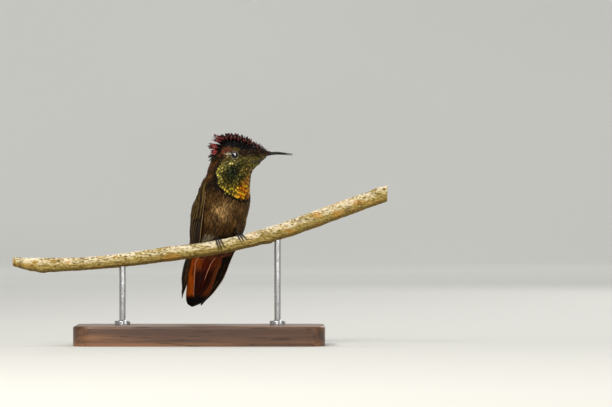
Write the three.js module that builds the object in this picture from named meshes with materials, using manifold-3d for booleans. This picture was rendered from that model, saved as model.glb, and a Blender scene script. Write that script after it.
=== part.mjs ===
// A male ruby-topaz hummingbird, life size, perched upright on a short length of twig that two rods hold over
// a flat base. Millimetres, +Z up. The origin is the centre of the base's underside. The twig runs along X, the
// bill points along +X, and the breast faces -Y and a little towards +X.
import * as THREE from "three";
import { mergeVertices } from "three/addons/utils/BufferGeometryUtils.js";
import Module from "manifold-3d";

const wasm = await Module();
wasm.setup();

// ---- driving dimensions ----

const PIECE_GAP = 0.2; // between neighbouring pieces
const HALF_LENGTH = 75; // of the twig, from the origin to either end
const BASE = { length: 100, depth: 58, height: 8, corner: 8, bevel: 1 };
const ROD = { radius: 1.25, x: 31, foot: 3.2, footHeight: 1.6, shoulder: 0.4 };

// The twig's middle line and thickness. It thins to a natural end on the left and is cut off on the right.
const TWIG = [
  { x: -76, z: 33.6, radius: 1.6 },
  { x: -69, z: 32.4, radius: 2.4 },
  { x: -61, z: 32.0, radius: 2.85 },
  { x: -41, z: 32.9, radius: 2.5 },
  { x: -13, z: 36.3, radius: 2.8 },
  { x: 10, z: 39.6, radius: 2.85 },
  { x: 33, z: 45.7, radius: 2.88 },
  { x: 56, z: 54.0, radius: 2.92 },
  { x: 78, z: 61.8, radius: 2.95 },
];

// Horizontal sections of the plumage, from the tips of the tail coverts up to the crown. Each is an oval round
// (x, y) that faces a bearing in degrees, from -Y towards +X, so the bird turns from tail to head. The front,
// back and side reaches are half widths, and point narrows the front towards the bill.
const PLUMAGE = [
  { z: 27.5, x: 1.0, y: 14.6, facing: 29, front: 0, back: 0, side: 0, point: 0 },
  { z: 30.0, x: 2.0, y: 13.2, facing: 30, front: 1.5, back: 1.4, side: 3.9, point: 0 },
  { z: 33.0, x: 3.5, y: 11.6, facing: 32, front: 2.8, back: 3.0, side: 5.8, point: 0 },
  { z: 36.5, x: 5.2, y: 9.9, facing: 34, front: 4.5, back: 5.3, side: 7.3, point: 0 },
  { z: 40.0, x: 6.8, y: 8.4, facing: 36, front: 6.4, back: 7.6, side: 8.4, point: 0 },
  { z: 43.4, x: 7.7, y: 7.4, facing: 37, front: 8.4, back: 9.2, side: 9.4, point: 0 },
  { z: 46.8, x: 7.9, y: 6.6, facing: 37, front: 10.1, back: 10.2, side: 10.1, point: 0 },
  { z: 50.0, x: 8.0, y: 5.8, facing: 39, front: 11.1, back: 10.8, side: 10.4, point: 0 },
  { z: 54.0, x: 8.7, y: 5.0, facing: 43, front: 11.4, back: 11.0, side: 10.6, point: 0 },
  { z: 58.0, x: 9.5, y: 4.3, facing: 48, front: 11.4, back: 11.0, side: 10.3, point: 0 },
  { z: 62.0, x: 10.2, y: 3.7, facing: 54, front: 10.3, back: 10.3, side: 9.6, point: 0 },
  { z: 66.0, x: 11.0, y: 3.2, facing: 61, front: 9.5, back: 9.8, side: 8.9, point: 0 },
  { z: 70.4, x: 11.7, y: 2.8, facing: 74, front: 9.9, back: 8.9, side: 7.9, point: 0.1 },
  { z: 73.0, x: 11.9, y: 2.6, facing: 82, front: 12.1, back: 8.0, side: 7.2, point: 0.35 },
  { z: 75.2, x: 12.0, y: 2.4, facing: 86, front: 14.4, back: 7.3, side: 6.9, point: 0.55 },
  { z: 77.2, x: 12.0, y: 2.4, facing: 88, front: 15.3, back: 6.3, side: 6.4, point: 0.6 },
  { z: 79.2, x: 12.2, y: 2.4, facing: 88, front: 12.0, back: 5.3, side: 5.6, point: 0.45 },
  { z: 81.0, x: 12.4, y: 2.4, facing: 88, front: 8.2, back: 4.3, side: 4.3, point: 0.2 },
  { z: 82.3, x: 12.6, y: 2.4, facing: 88, front: 5.0, back: 3.1, side: 2.7, point: 0 },
  { z: 83.2, x: 12.8, y: 2.4, facing: 88, front: 0, back: 0, side: 0, point: 0 },
];
const ROW_SPACING = 0.82; // under 1 sets the rows of facets closer together towards the head

// Cuts by their height on the midline, or some way behind it. One that leans back falls towards the back.
const NECK_TOP = { z: 70.6, lean: 0.34 };
const NECK_BASE = { z: 64.0, lean: -0.12 };
const RUMP = { z: 36.5, lean: 0.45 };
const WRIST_CUT = { z: 57.5, lean: -0.55 };
const PRIMARY_CUT = { z: 46.0, behind: 6.5, lean: 1.2 };

// The folded wing as stations down its length. Each holds its leading edge and its trailing edge as
// [out, ahead] from the bird's midline, and swell, how far the blade bows out between the two.
const WING = [
  { z: 70.0, lead: [7.1, -5.2], trail: [5.2, -7.7], swell: 0.3, thick: 0.7 },
  { z: 66.0, lead: [8.9, -4.4], trail: [4.6, -9.2], swell: 0.7, thick: 1.1 },
  { z: 60.0, lead: [10.8, -0.8], trail: [3.8, -11.3], swell: 2.0, thick: 1.3 },
  { z: 54.0, lead: [11.4, 1.8], trail: [3.2, -12.0], swell: 2.6, thick: 1.3 },
  { z: 48.0, lead: [11.0, 2.8], trail: [3.3, -12.0], swell: 3.2, thick: 1.3 },
  { z: 44.0, lead: [10.2, 1.0], trail: [5.2, -10.8], swell: 2.8, thick: 1.2 },
  { z: 40.0, lead: [8.6, 0.0], trail: [7.2, -9.2], swell: 1.0, thick: 1.1 },
  { z: 36.5, lead: [7.7, -1.4], trail: [7.5, -7.6], swell: 0.5, thick: 1.0 },
  { z: 33.0, lead: [6.1, -2.7], trail: [6.9, -6.8], swell: 0.5, thick: 0.9 },
  { z: 27.0, lead: [4.8, -2.7], trail: [5.3, -5.9], swell: 0.4, thick: 0.8 },
  { z: 19.2, lead: [5.4, -1.7], trail: [5.4, -2.0], swell: 0.1, thick: 0.7 },
];
// The left wing is dropped lower and held off the tail.
const WINGS = [
  { name: "right", side: 1, drop: 0, flare: 0, tipIn: 0 },
  { name: "left", side: -1, drop: 2.8, flare: 5.4, tipIn: 0.9 },
];
const FLARE = { z: 29, reach: 9, trail: 0.3 }; // where, how far up and down, and how much less at the back
const LOW_WING = 14; // the length above the tip that drops
const WING_END = { tip: 3, top: 2 };

// The closed tail, from its root under the rump to its rounded end.
const TAIL = [
  { z: 39.0, half: 4.4, thick: 2.2 },
  { z: 36.5, half: 6.4, thick: 2.1 },
  { z: 33.0, half: 6.8, thick: 1.8 },
  { z: 27.0, half: 5.9, thick: 1.5 },
  { z: 23.0, half: 5.1, thick: 1.3 },
  { z: 19.2, half: 4.1, thick: 1.1 },
  { z: 16.2, half: 2.5, thick: 0.9 },
  { z: 15.0, half: 0, thick: 0.8 },
];
const TAIL_TIP = { z: 15, x: -3.0, y: 20.4, facing: 28 };
const TAIL_BEHIND = 1.0;
const TAIL_DISH = 0.7; // how far the middle stands behind the edges

const EYE = { z: 76.1, ahead: 1.9, radius: 1.65, sunk: 1.25 };
const BILL = {
  root: 8.4, // ahead of the head's middle, inside the head
  tip: 25.2,
  z: 76.5,
  rise: 0.55,
  droop: 0.75,
  halfWide: 1.0,
  halfHigh: 0.85,
  tipHalf: 0.3,
  overbite: 0.35,
};

// The crest is a cap over the crown with spiky raised tips. Its reach is measured from a centre inside the
// head, along a bearing in the head's upright middle plane, in degrees from ahead.
const CREST = {
  centre: { ahead: 1.2, z: 73.6 },
  floor: 78.4,
  nape: { ahead: -2.4, z: 77.4, lean: 1.3 }, // behind this slanted line the crest runs on down the nape
  depth: 0.5, // of the cap below the tips
  sideways: 0.72, // the cap's half width against its reach
  tipRadius: 0.14,
  rootRadius: 0.8,
  spikeLength: 2,
  uneven: 0.25,
  rake: 4, // how far each spike leans back, in degrees to either side of its middle
  tuftOut: 16,
};
const CREST_REACH = [
  { bearing: 18, reach: 15.4 },
  { bearing: 23, reach: 13.9 },
  { bearing: 38, reach: 12.1 },
  { bearing: 57, reach: 11.2 },
  { bearing: 78, reach: 11.2 },
  { bearing: 96, reach: 11.5 },
  { bearing: 104, reach: 11.6 },
  { bearing: 118, reach: 10.7 },
  { bearing: 150, reach: 9.3 },
  { bearing: 172, reach: 9.6 },
];
const CREST_ROWS = [
  { out: 0, from: 30, to: 120, count: 10 },
  { out: 24, from: 42, to: 122, count: 5 },
  { out: 44, from: 60, to: 112, count: 3 },
];
const CREST_TUFTS = [
  { bearing: 132, reach: 12.0, radius: 1.2 },
  { bearing: 148, reach: 11.5, radius: 1.3 },
  { bearing: 161, reach: 9.9, radius: 1.2 },
];

const TOE = { radius: 0.34, start: 12, pads: 0.09, sides: 6, steps: 5 };
const CLAW = { radius: 0.27, tip: 0.07, sweep: 30, sides: 5, steps: 3, arch: 0.22 };
const TARSUS = { radius: 0.5, flare: 0.12, start: 12, rise: 2.6, forward: 0.4, sides: 7 };
const THIGH = { wide: 2.2, long: 3.0, ankle: 0.5, lean: 0.3, inward: 0.9, forward: 1.3, up: 4.1 };
// Feet by their place along the twig, how far their toes slant along it and how far they reach round it.
const FEET = [
  { name: "right", x: 7.6, slant: 0.6, grip: 0.9 },
  { name: "left", x: 16.3, slant: 0.8, grip: 0.64 },
];
const TOES = [
  { name: "outer", x: -0.82, spread: -0.15, arc: 74, way: 1 },
  { name: "middle", x: 0, spread: 0.1, arc: 80, way: 1 },
  { name: "inner", x: 0.82, spread: 0.35, arc: 66, way: 1 },
  { name: "hind", x: 0, spread: -1.2, arc: 60, way: -1 },
];

const FINISH = {
  crest: [0x5a1216, 0.45],
  head: [0x3a3218, 0.55],
  neck: [0x6a5a1c, 0.4],
  body: [0x4a3522, 0.7],
  wing: [0x33281f, 0.6],
  tail: [0x8a3a12, 0.5],
  bill: [0x14140f, 0.35],
  eye: [0x0a0807, 0.08],
  foot: [0x1c1816, 0.6],
  bark: [0xa89468, 0.85],
  wood: [0x4a2f1d, 0.5],
  steel: [0x9a9c9e, 0.35],
};

// ---- solids ----

const bird = new THREE.Group();
const stand = new THREE.Group();

function solidOf(geometry) {
  const bare = geometry.clone();
  bare.deleteAttribute("normal");
  bare.deleteAttribute("uv");
  const merged = mergeVertices(bare, 1e-4);
  return new wasm.Manifold(
    new wasm.Mesh({
      numProp: 3,
      vertProperties: merged.attributes.position.array,
      triVerts: new Uint32Array(merged.index.array),
    }),
  );
}

function geometryOf(solid) {
  const { vertProperties, triVerts } = solid.getMesh();
  const geometry = new THREE.BufferGeometry();
  geometry.setAttribute("position", new THREE.BufferAttribute(vertProperties, 3));
  geometry.setIndex(new THREE.BufferAttribute(triVerts, 1));
  return geometry.toNonIndexed();
}

// The largest body of a solid, without the slivers that a cut can leave.
function main(solid) {
  const bodies = solid.decompose();
  return bodies.reduce((best, body) => (body.volume() > best.volume() ? body : best));
}

function add(group, name, solid, finish) {
  const [color, roughness] = FINISH[finish];
  const geometry = geometryOf(main(solid));
  geometry.computeVertexNormals();
  const metalness = finish === "steel" ? 1 : 0;
  const mesh = new THREE.Mesh(geometry, new THREE.MeshStandardMaterial({ color, roughness, metalness }));
  mesh.name = name;
  group.add(mesh);
}

// A closed three.js geometry with each vertex moved by a function.
function shaped(geometry, place) {
  const position = geometry.getAttribute("position");
  const vertex = new THREE.Vector3();
  for (let i = 0; i < position.count; i += 1) {
    vertex.fromBufferAttribute(position, i);
    position.setXYZ(i, ...place(vertex).toArray());
  }
  return solidOf(geometry);
}

// Rows of named numbers read at any place along one of their keys.
function track(rows, key, names) {
  const flat = rows.flatMap((row) => names.flatMap((name) => row[name]));
  const size = flat.length / rows.length;
  const places = rows.map((row) => row[key]);
  const curve = new THREE.CubicInterpolant(places, flat, size, new Float32Array(size));
  return (at) => [...curve.evaluate(THREE.MathUtils.clamp(at, places[0], places.at(-1)))];
}

// ---- the body's outline ----

// Squares of the reaches are interpolated, so that the ends close as domes.
const squared = PLUMAGE.map(({ z, front, back, side, point }) => ({
  z,
  front: front ** 2,
  back: back ** 2,
  side: side ** 2,
  point,
}));
const reachesAt = track(squared, "z", ["front", "back", "side", "point"]);

// The midline carries on below the body, along the tail.
const midline = track([TAIL_TIP, ...PLUMAGE], "z", ["x", "y", "facing"]);

function safeRoot(value) {
  return Math.sqrt(Math.max(value, 0));
}

// A point at a height, by its distance out to the bird's right and ahead of its midline.
function onBird(z, out, ahead) {
  const [x, y, facing] = midline(z);
  const turn = THREE.MathUtils.degToRad(facing);
  return new THREE.Vector3(
    x - out * Math.cos(turn) + ahead * Math.sin(turn),
    y - out * Math.sin(turn) - ahead * Math.cos(turn),
    z,
  );
}

// The whole body as one closed solid, grown all round by some clearance.
function plumage(grow, around = 24, rows = 26) {
  const low = PLUMAGE[0].z;
  const high = PLUMAGE.at(-1).z;
  return shaped(new THREE.SphereGeometry(1, around, rows), ({ x, y, z }) => {
    const share = THREE.MathUtils.clamp(Math.asin(y) / Math.PI + 0.5, 0, 1);
    const height = THREE.MathUtils.lerp(low, high, share ** ROW_SPACING);
    const pole = Math.hypot(x, z) < 1e-6;
    const ahead = pole ? 0 : x / Math.hypot(x, z);
    const out = pole ? 0 : z / Math.hypot(x, z);
    const [front, back, side, point] = reachesAt(height);
    const lengthways = safeRoot(ahead > 0 ? front : back) + grow;
    const sideways = safeRoot(side) * (1 - Math.max(point, 0) * Math.max(ahead, 0) ** 2) + grow;
    const stretch = THREE.MathUtils.mapLinear(height, low, high, -grow, grow);
    return onBird(height, out * sideways, ahead * lengthways).add(new THREE.Vector3(0, 0, stretch));
  });
}

// Cuts a solid in two along a plane that faces up, through a point at a height and behind the midline. A plane
// with a lean faces that much backwards too, so it falls towards the back.
function parted(solid, { z, behind = 0, lean }) {
  const through = onBird(z, 0, -behind);
  const backwards = onBird(z, 0, -1).sub(onBird(z, 0, 0));
  const normal = new THREE.Vector3(0, 0, 1).addScaledVector(backwards, lean).normalize();
  const height = normal.dot(through);
  return {
    above: solid.trimByPlane(normal.toArray(), height + PIECE_GAP / 2),
    below: solid.trimByPlane(normal.clone().negate().toArray(), PIECE_GAP / 2 - height),
  };
}

// ---- twig and stand ----

const twigLine = new THREE.CatmullRomCurve3(TWIG.map(({ x, z }) => new THREE.Vector3(x, 0, z)));
const twigRadius = track(TWIG, "x", ["radius"]);

function twig(grow, sides = 10, steps = 22) {
  return shaped(new THREE.CylinderGeometry(1, 1, 1, sides, steps), ({ x, y, z }) => {
    const centre = twigLine.getPoint(y + 0.5);
    const tangent = twigLine.getTangent(y + 0.5);
    const [radius] = twigRadius(centre.x);
    const up = new THREE.Vector3(-tangent.z, 0, tangent.x);
    const across = new THREE.Vector3(0, z * (radius + grow), 0);
    return centre.addScaledVector(up, x * (radius + grow)).add(across);
  });
}

// The twig's centre and its upward normal at a place along X, found by halving.
function twigAt(place) {
  let low = 0;
  let high = 1;
  while (high - low > 1e-7) {
    const middle = (low + high) / 2;
    if (twigLine.getPoint(middle).x < place) low = middle;
    else high = middle;
  }
  const { x, z } = twigLine.getTangent(low);
  return { centre: twigLine.getPoint(low), up: new THREE.Vector3(-z, 0, x) };
}

function makePerch() {
  const ends = new THREE.BoxGeometry(2 * HALF_LENGTH, 40, 200);
  add(stand, "perch", twig(0).intersect(solidOf(ends)), "bark");
}

function makeBase() {
  const { length, depth, height, corner, bevel } = BASE;
  const outline = new THREE.Shape();
  const halfLength = length / 2 - bevel;
  const halfDepth = depth / 2 - bevel;
  const round = corner - bevel;
  outline.absarc(halfLength - round, halfDepth - round, round, 0, Math.PI / 2);
  outline.absarc(round - halfLength, halfDepth - round, round, Math.PI / 2, Math.PI);
  outline.absarc(round - halfLength, round - halfDepth, round, Math.PI, 1.5 * Math.PI);
  outline.absarc(halfLength - round, round - halfDepth, round, 1.5 * Math.PI, 2 * Math.PI);
  const slab = new THREE.ExtrudeGeometry(outline, {
    depth: height - 2 * bevel,
    curveSegments: 3,
    bevelSize: bevel,
    bevelThickness: bevel,
    bevelSegments: 2,
  });
  slab.translate(0, 0, bevel);
  add(stand, "stand_base", solidOf(slab), "wood");
}

// Each rod stands on a small round foot and is hollowed at the top to the twig.
function makeRods() {
  const clearTwig = twig(PIECE_GAP / 2);
  const bottom = BASE.height + PIECE_GAP / 2;
  const shoulder = bottom + ROD.footHeight;
  for (const [name, x] of Object.entries({ left: -ROD.x, right: ROD.x })) {
    const top = twigAt(x).centre.z;
    const profile = [
      [0, bottom],
      [ROD.foot, bottom],
      [ROD.foot, shoulder - ROD.shoulder],
      [ROD.foot - ROD.shoulder, shoulder],
      [ROD.radius, shoulder],
      [ROD.radius, top],
      [0, top],
    ];
    const outline = profile.map(([radius, height]) => new THREE.Vector2(radius, height));
    const rod = new THREE.LatheGeometry(outline, 14);
    rod.rotateX(Math.PI / 2);
    rod.translate(x, 0, 0);
    add(stand, `stand_rod_${name}`, solidOf(rod).subtract(clearTwig), "steel");
  }
}

// ---- wings and tail ----

const wingStations = track([...WING].reverse(), "z", ["lead", "trail", "swell", "thick"]);

// A folded wing as one blade that bows round the body, out to its own side. The ends close over a short length.
function wingBlade({ side, drop, flare, tipIn }) {
  const tip = WING.at(-1).z;
  const top = WING[0].z;
  return shaped(new THREE.SphereGeometry(1, 12, 18), ({ x, y, z }) => {
    const height = THREE.MathUtils.mapLinear(Math.asin(y), -Math.PI / 2, Math.PI / 2, tip, top);
    const [leadOut, leadAhead, trailOut, trailAhead, swell, thick] = wingStations(height);
    const ring = Math.max(Math.hypot(x, z), 1e-6);
    const open = safeRoot(Math.min(1, (height - tip) / WING_END.tip, (top - height) / WING_END.top)) + 1e-5;
    const across = (1 - (x / ring) * open) / 2;
    const even = (1 - x / ring) / 2;
    const rise = open * (4 * swell * even * (1 - even) + ((side * z) / ring) * (thick / 2));
    const chord = new THREE.Vector2(trailOut - leadOut, trailAhead - leadAhead);
    const outward = new THREE.Vector2(-chord.y, chord.x).normalize();
    const low = THREE.MathUtils.smoothstep(tip + LOW_WING - height, 0, LOW_WING);
    const bulge = Math.exp(-(((height - FLARE.z) / FLARE.reach) ** 2));
    const off = flare * bulge * THREE.MathUtils.lerp(1, FLARE.trail, across) - tipIn * low ** 2;
    const out = leadOut + chord.x * across + outward.x * rise + off;
    const ahead = leadAhead + chord.y * across + outward.y * rise;
    return onBird(height - drop * low, side * out, ahead);
  });
}

function makeWings(clearBody, clearTwig) {
  for (const wing of WINGS) {
    const blade = wingBlade(wing).subtract(clearBody).subtract(clearTwig);
    const { above: coverts, below: flight } = parted(blade, WRIST_CUT);
    const { above: secondaries, below: primaries } = parted(flight, PRIMARY_CUT);
    add(bird, `wing_${wing.name}_coverts`, coverts, "wing");
    add(bird, `wing_${wing.name}_secondaries`, secondaries, "wing");
    add(bird, `wing_${wing.name}_primaries`, primaries, "wing");
  }
}

const tailSquared = TAIL.map(({ z, half, thick }) => ({ z, half: half ** 2, thick }));
const tailStations = track(tailSquared.reverse(), "z", ["half", "thick"]);

// The closed tail, a little hollow on the side that faces the twig.
function tailBlade() {
  const fullHalf = Math.max(...TAIL.map(({ half }) => half));
  return shaped(new THREE.SphereGeometry(1, 12, 14), ({ x, y, z }) => {
    const height = THREE.MathUtils.mapLinear(y, -1, 1, TAIL.at(-1).z, TAIL[0].z);
    const [half, thick] = tailStations(height);
    const ring = Math.max(Math.hypot(x, z), 1e-6);
    const out = (x / ring) * safeRoot(half);
    const closed = Math.min(1, Math.hypot(x, z) * 2.5);
    const edge = TAIL_DISH * ((out / fullHalf) ** 2 - 1);
    return onBird(height, out, edge - TAIL_BEHIND - (z / ring) * (thick / 2) * closed);
  });
}

// ---- head ----

// A point on the head, by its distance ahead of the head's midline, out to the bird's right and its height.
function onHead(ahead, out, z) {
  const [x, y, facing] = midline(EYE.z);
  const turn = THREE.MathUtils.degToRad(facing);
  return new THREE.Vector3(
    x + ahead * Math.sin(turn) - out * Math.cos(turn),
    y - ahead * Math.cos(turn) - out * Math.sin(turn),
    z,
  );
}

function eyeCentre(side) {
  const [, , width] = reachesAt(EYE.z);
  return onHead(EYE.ahead, side * (safeRoot(width) - EYE.sunk), EYE.z);
}

function ball(centre, radius, around = 12, rows = 8) {
  return solidOf(new THREE.SphereGeometry(radius, around, rows).translate(...centre.toArray()));
}

// One half of the bill. The two halves meet along the gape line, and the tip droops a little.
function billHalf(way) {
  return shaped(new THREE.CylinderGeometry(1, 1, 1, 10, 6), ({ x, y, z }) => {
    const along = y + 0.5;
    const wide = THREE.MathUtils.lerp(BILL.halfWide, BILL.tipHalf, along ** 0.7);
    const high = THREE.MathUtils.lerp(BILL.halfHigh, BILL.tipHalf, along ** 0.6);
    const line = BILL.z + BILL.rise * Math.sin(along * Math.PI * 0.75) - BILL.droop * along ** 2;
    const lift = way * (Math.max(z * way, 0) * high + PIECE_GAP / 4);
    const shorter = way < 0 ? BILL.overbite * along : 0;
    return onHead(THREE.MathUtils.lerp(BILL.root, BILL.tip, along) - shorter, x * wide, line + lift);
  });
}

// A bill half with room round it, for the hole that it sits in.
function billRoom(half) {
  const room = PIECE_GAP * 0.6;
  const shifts = [
    [0, room, 0],
    [0, -room, 0],
    [0, 0, room],
    [0, 0, -room],
    [-room, 0, 0],
  ];
  return shifts.reduce((whole, shift) => whole.add(half.translate(shift)), half);
}

const crestReach = track(CREST_REACH, "bearing", ["reach"]);

// A point of the crest by its bearing, its angle out to the bird's right and its reach.
function onCrest(bearing, out, reach) {
  const turn = THREE.MathUtils.degToRad(bearing);
  const tilt = THREE.MathUtils.degToRad(out);
  const { centre, sideways } = CREST;
  const wide = THREE.MathUtils.lerp(1, sideways, Math.sin(tilt) ** 2);
  return onHead(
    centre.ahead + reach * Math.cos(turn) * Math.cos(tilt),
    reach * wide * Math.sin(tilt),
    centre.z + reach * wide * Math.sin(turn) * Math.cos(tilt),
  );
}

function crestSpike(root, tip, radius) {
  const along = tip.clone().sub(root);
  const cone = new THREE.CylinderGeometry(CREST.tipRadius, radius, along.length(), 4, 1);
  cone.translate(0, along.length() / 2, 0);
  const upright = new THREE.Vector3(0, 1, 0);
  cone.applyQuaternion(new THREE.Quaternion().setFromUnitVectors(upright, along.normalize()));
  cone.translate(...root.toArray());
  return solidOf(cone);
}

// The cap over the crown, cut off level above the eyes.
function crestCap() {
  const { centre, depth, sideways, floor, nape } = CREST;
  const dome = shaped(new THREE.SphereGeometry(1, 16, 10), ({ x, y, z }) => {
    const bearing = THREE.MathUtils.radToDeg(Math.atan2(y, x));
    const reach = crestReach(bearing)[0] - depth;
    return onHead(centre.ahead + reach * x, reach * sideways * z, centre.z + reach * y);
  });
  const through = onHead(nape.ahead, 0, nape.z);
  const normal = onHead(nape.ahead - nape.lean, 0, nape.z + 1).sub(through).normalize();
  const rear = dome.trimByPlane(normal.toArray(), normal.dot(through));
  return dome.trimByPlane([0, 0, 1], floor).add(rear);
}

function crestSpikes() {
  const { rootRadius, spikeLength, rake, uneven, tuftOut } = CREST;
  const spikes = [];
  for (const { out, from, to, count } of CREST_ROWS) {
    for (let i = 0; i < count; i += 1) {
      const bearing = THREE.MathUtils.lerp(from, to, i / (count - 1));
      const [reach] = crestReach(bearing);
      const tipReach = reach + uneven * Math.sin(i * 2.4 + out);
      for (const side of out ? [-out, out] : [0]) {
        const root = onCrest(bearing - rake, side, reach - spikeLength);
        spikes.push(crestSpike(root, onCrest(bearing + rake, side, tipReach), rootRadius));
      }
    }
  }
  for (const { bearing, reach, radius } of CREST_TUFTS) {
    for (const out of [-tuftOut, 0, tuftOut]) {
      const root = onCrest(bearing - 2 * rake, out * 0.8, reach * 0.55);
      spikes.push(crestSpike(root, onCrest(bearing, out, reach - Math.abs(out) * 0.05), radius));
    }
  }
  return spikes.reduce((whole, spike) => whole.add(spike));
}

function makeHead(head, clearBody) {
  const sockets = [1, -1].map((side) => ball(eyeCentre(side), EYE.radius + PIECE_GAP / 2));
  const bills = [1, -1].map((way) => billHalf(way));
  const holes = [...sockets, ...bills.map((half) => billRoom(half))];
  add(bird, "head", holes.reduce((rest, hole) => rest.subtract(hole), head), "head");
  add(bird, "eye_right", ball(eyeCentre(1), EYE.radius), "eye");
  add(bird, "eye_left", ball(eyeCentre(-1), EYE.radius), "eye");
  add(bird, "bill_upper", bills[0], "bill");
  add(bird, "bill_lower", bills[1], "bill");
  const crest = crestCap().add(crestSpikes()).subtract(clearBody).subtract(billRoom(bills[0]));
  add(bird, "crest", crest, "crest");
}

// ---- legs ----

// A point round the twig: degrees from its top, towards the front, at a distance from its surface.
function roundTwig(x, degrees, off) {
  const { centre, up } = twigAt(x);
  const turn = THREE.MathUtils.degToRad(degrees);
  const radius = twigRadius(x)[0] + off;
  const front = new THREE.Vector3(0, -radius * Math.sin(turn), 0);
  return centre.addScaledVector(up, radius * Math.cos(turn)).add(front);
}

function tube(points, radiusAt, sides, steps) {
  const line = new THREE.CatmullRomCurve3(points);
  const frames = line.computeFrenetFrames(steps);
  return shaped(new THREE.CylinderGeometry(1, 1, 1, sides, steps), ({ x, y, z }) => {
    const step = Math.round((y + 0.5) * steps);
    const radius = radiusAt(step / steps);
    return line
      .getPoint(step / steps)
      .addScaledVector(frames.normals[step], x * radius)
      .addScaledVector(frames.binormals[step], -z * radius);
  });
}

function makeToe(foot, toe) {
  const arc = toe.arc * foot.grip;
  const slant = (foot.slant * toe.way + toe.spread) / arc;
  const path = (from, sweep, steps, off) =>
    Array.from({ length: steps + 1 }, (_, i) => {
      const turned = from + (sweep * i) / steps;
      return roundTwig(foot.x + toe.x + slant * turned, toe.way * (TOE.start + turned), off(i / steps));
    });
  const toePath = path(0, arc, TOE.steps, () => TOE.radius + 0.1);
  const pads = (along) => TOE.radius * (1 + TOE.pads * Math.cos(along * Math.PI * 6));
  add(bird, `toe_${foot.name}_${toe.name}`, tube(toePath, pads, TOE.sides, TOE.steps), "foot");

  const gap = THREE.MathUtils.radToDeg(PIECE_GAP / (twigRadius(foot.x)[0] + TOE.radius));
  const arch = (along) => CLAW.radius + 0.15 + CLAW.arch * (Math.sin(along * Math.PI) - along);
  const taper = (along) => THREE.MathUtils.lerp(CLAW.radius, CLAW.tip, along);
  const clawPath = path(arc + gap, CLAW.sweep, CLAW.steps, arch);
  add(bird, `claw_${foot.name}_${toe.name}`, tube(clawPath, taper, CLAW.sides, CLAW.steps), "foot");
}

// The bare shank, from just above the toes up into the thigh.
function tarsusOf(foot, grow) {
  const low = roundTwig(foot.x, TARSUS.start, TOE.radius * 2 + PIECE_GAP + 0.3);
  const high = low.clone().add(new THREE.Vector3(-THIGH.inward * 0.4, -TARSUS.forward, TARSUS.rise));
  const radius = (along) => TARSUS.radius + grow + TARSUS.flare * Math.abs(along - 0.5);
  return tube([low, low.clone().lerp(high, 0.5), high], radius, TARSUS.sides, 3);
}

// The feathered thigh, a puff that stands out of the belly over the foot.
function thighOf(foot, grow) {
  const middle = roundTwig(foot.x, 0, 0).add(new THREE.Vector3(-THIGH.inward, -THIGH.forward, THIGH.up));
  return shaped(new THREE.SphereGeometry(1, 9, 6), ({ x, y, z }) => {
    const plump = THIGH.wide * THREE.MathUtils.lerp(THIGH.ankle, 1, (y + 1) / 2) + grow;
    const lean = y * THIGH.long * THIGH.lean;
    return middle.clone().add(new THREE.Vector3(x * plump - lean, lean - z * plump, y * (THIGH.long + grow)));
  });
}

function makeLegs() {
  for (const foot of FEET) {
    const clearTarsus = tarsusOf(foot, PIECE_GAP);
    add(bird, `tarsus_${foot.name}`, tarsusOf(foot, 0), "foot");
    add(bird, `thigh_${foot.name}`, thighOf(foot, 0).subtract(clearTarsus).subtract(twig(PIECE_GAP)), "body");
    TOES.forEach((toe) => makeToe(foot, toe));
  }
}

// ---- assembly ----

// The belly leaves room over the twig for the toes.
const clearTwig = twig(0.3);
const toeRoom = twig(TOE.radius * 2 + 0.3);
const legRoom = FEET.flatMap((foot) => [tarsusOf(foot, PIECE_GAP), thighOf(foot, PIECE_GAP)]);
const body = legRoom.reduce((rest, room) => rest.subtract(room), plumage(0).subtract(toeRoom));
const clearBody = plumage(PIECE_GAP);

makePerch();
makeBase();
makeRods();
const { above: head, below: fromNeck } = parted(body, NECK_TOP);
const { above: neck, below: fromTrunk } = parted(fromNeck, NECK_BASE);
const { above: trunk, below: tailCoverts } = parted(fromTrunk, RUMP);
makeHead(head, clearBody);
add(bird, "neck", neck, "neck");
add(bird, "trunk", trunk, "body");
add(bird, "tail_coverts", tailCoverts, "body");
makeWings(clearBody, clearTwig);
add(bird, "tail", tailBlade().subtract(clearBody), "tail");
makeLegs();

const model = new THREE.Group();
model.add(bird, stand);

export default model;
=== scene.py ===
"""A museum model of a ruby-topaz hummingbird on a twig: its plumage, bill, eyes, feet, twig and stand."""

import itertools
import math

import bpy
import numpy as np
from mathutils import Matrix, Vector
from mathutils.bvhtree import BVHTree


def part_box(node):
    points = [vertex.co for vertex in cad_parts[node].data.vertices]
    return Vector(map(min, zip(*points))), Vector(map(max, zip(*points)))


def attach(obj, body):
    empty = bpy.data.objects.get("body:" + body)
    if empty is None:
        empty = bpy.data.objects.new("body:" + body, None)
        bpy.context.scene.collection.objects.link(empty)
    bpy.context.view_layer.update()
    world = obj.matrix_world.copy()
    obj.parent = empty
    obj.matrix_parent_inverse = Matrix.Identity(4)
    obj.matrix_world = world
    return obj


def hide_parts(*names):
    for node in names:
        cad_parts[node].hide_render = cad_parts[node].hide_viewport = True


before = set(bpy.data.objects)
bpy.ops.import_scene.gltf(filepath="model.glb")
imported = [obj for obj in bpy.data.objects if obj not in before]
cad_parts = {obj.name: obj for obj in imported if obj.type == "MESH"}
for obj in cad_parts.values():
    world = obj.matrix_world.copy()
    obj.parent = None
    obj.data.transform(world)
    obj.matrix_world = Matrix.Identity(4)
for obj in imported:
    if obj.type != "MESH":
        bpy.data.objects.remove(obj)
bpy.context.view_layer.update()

# ---------------------------------------------------------------------------------------------------
# Ground, light and camera. The model stands on a pale studio sweep under soft boxes. The camera looks
# level at the twig from far off, so the bird is seen almost without perspective.
# ---------------------------------------------------------------------------------------------------
MM = 0.001
SWEEP = {"size": 14.0, "behind": 5.0, "bend": 1.6}
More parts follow.
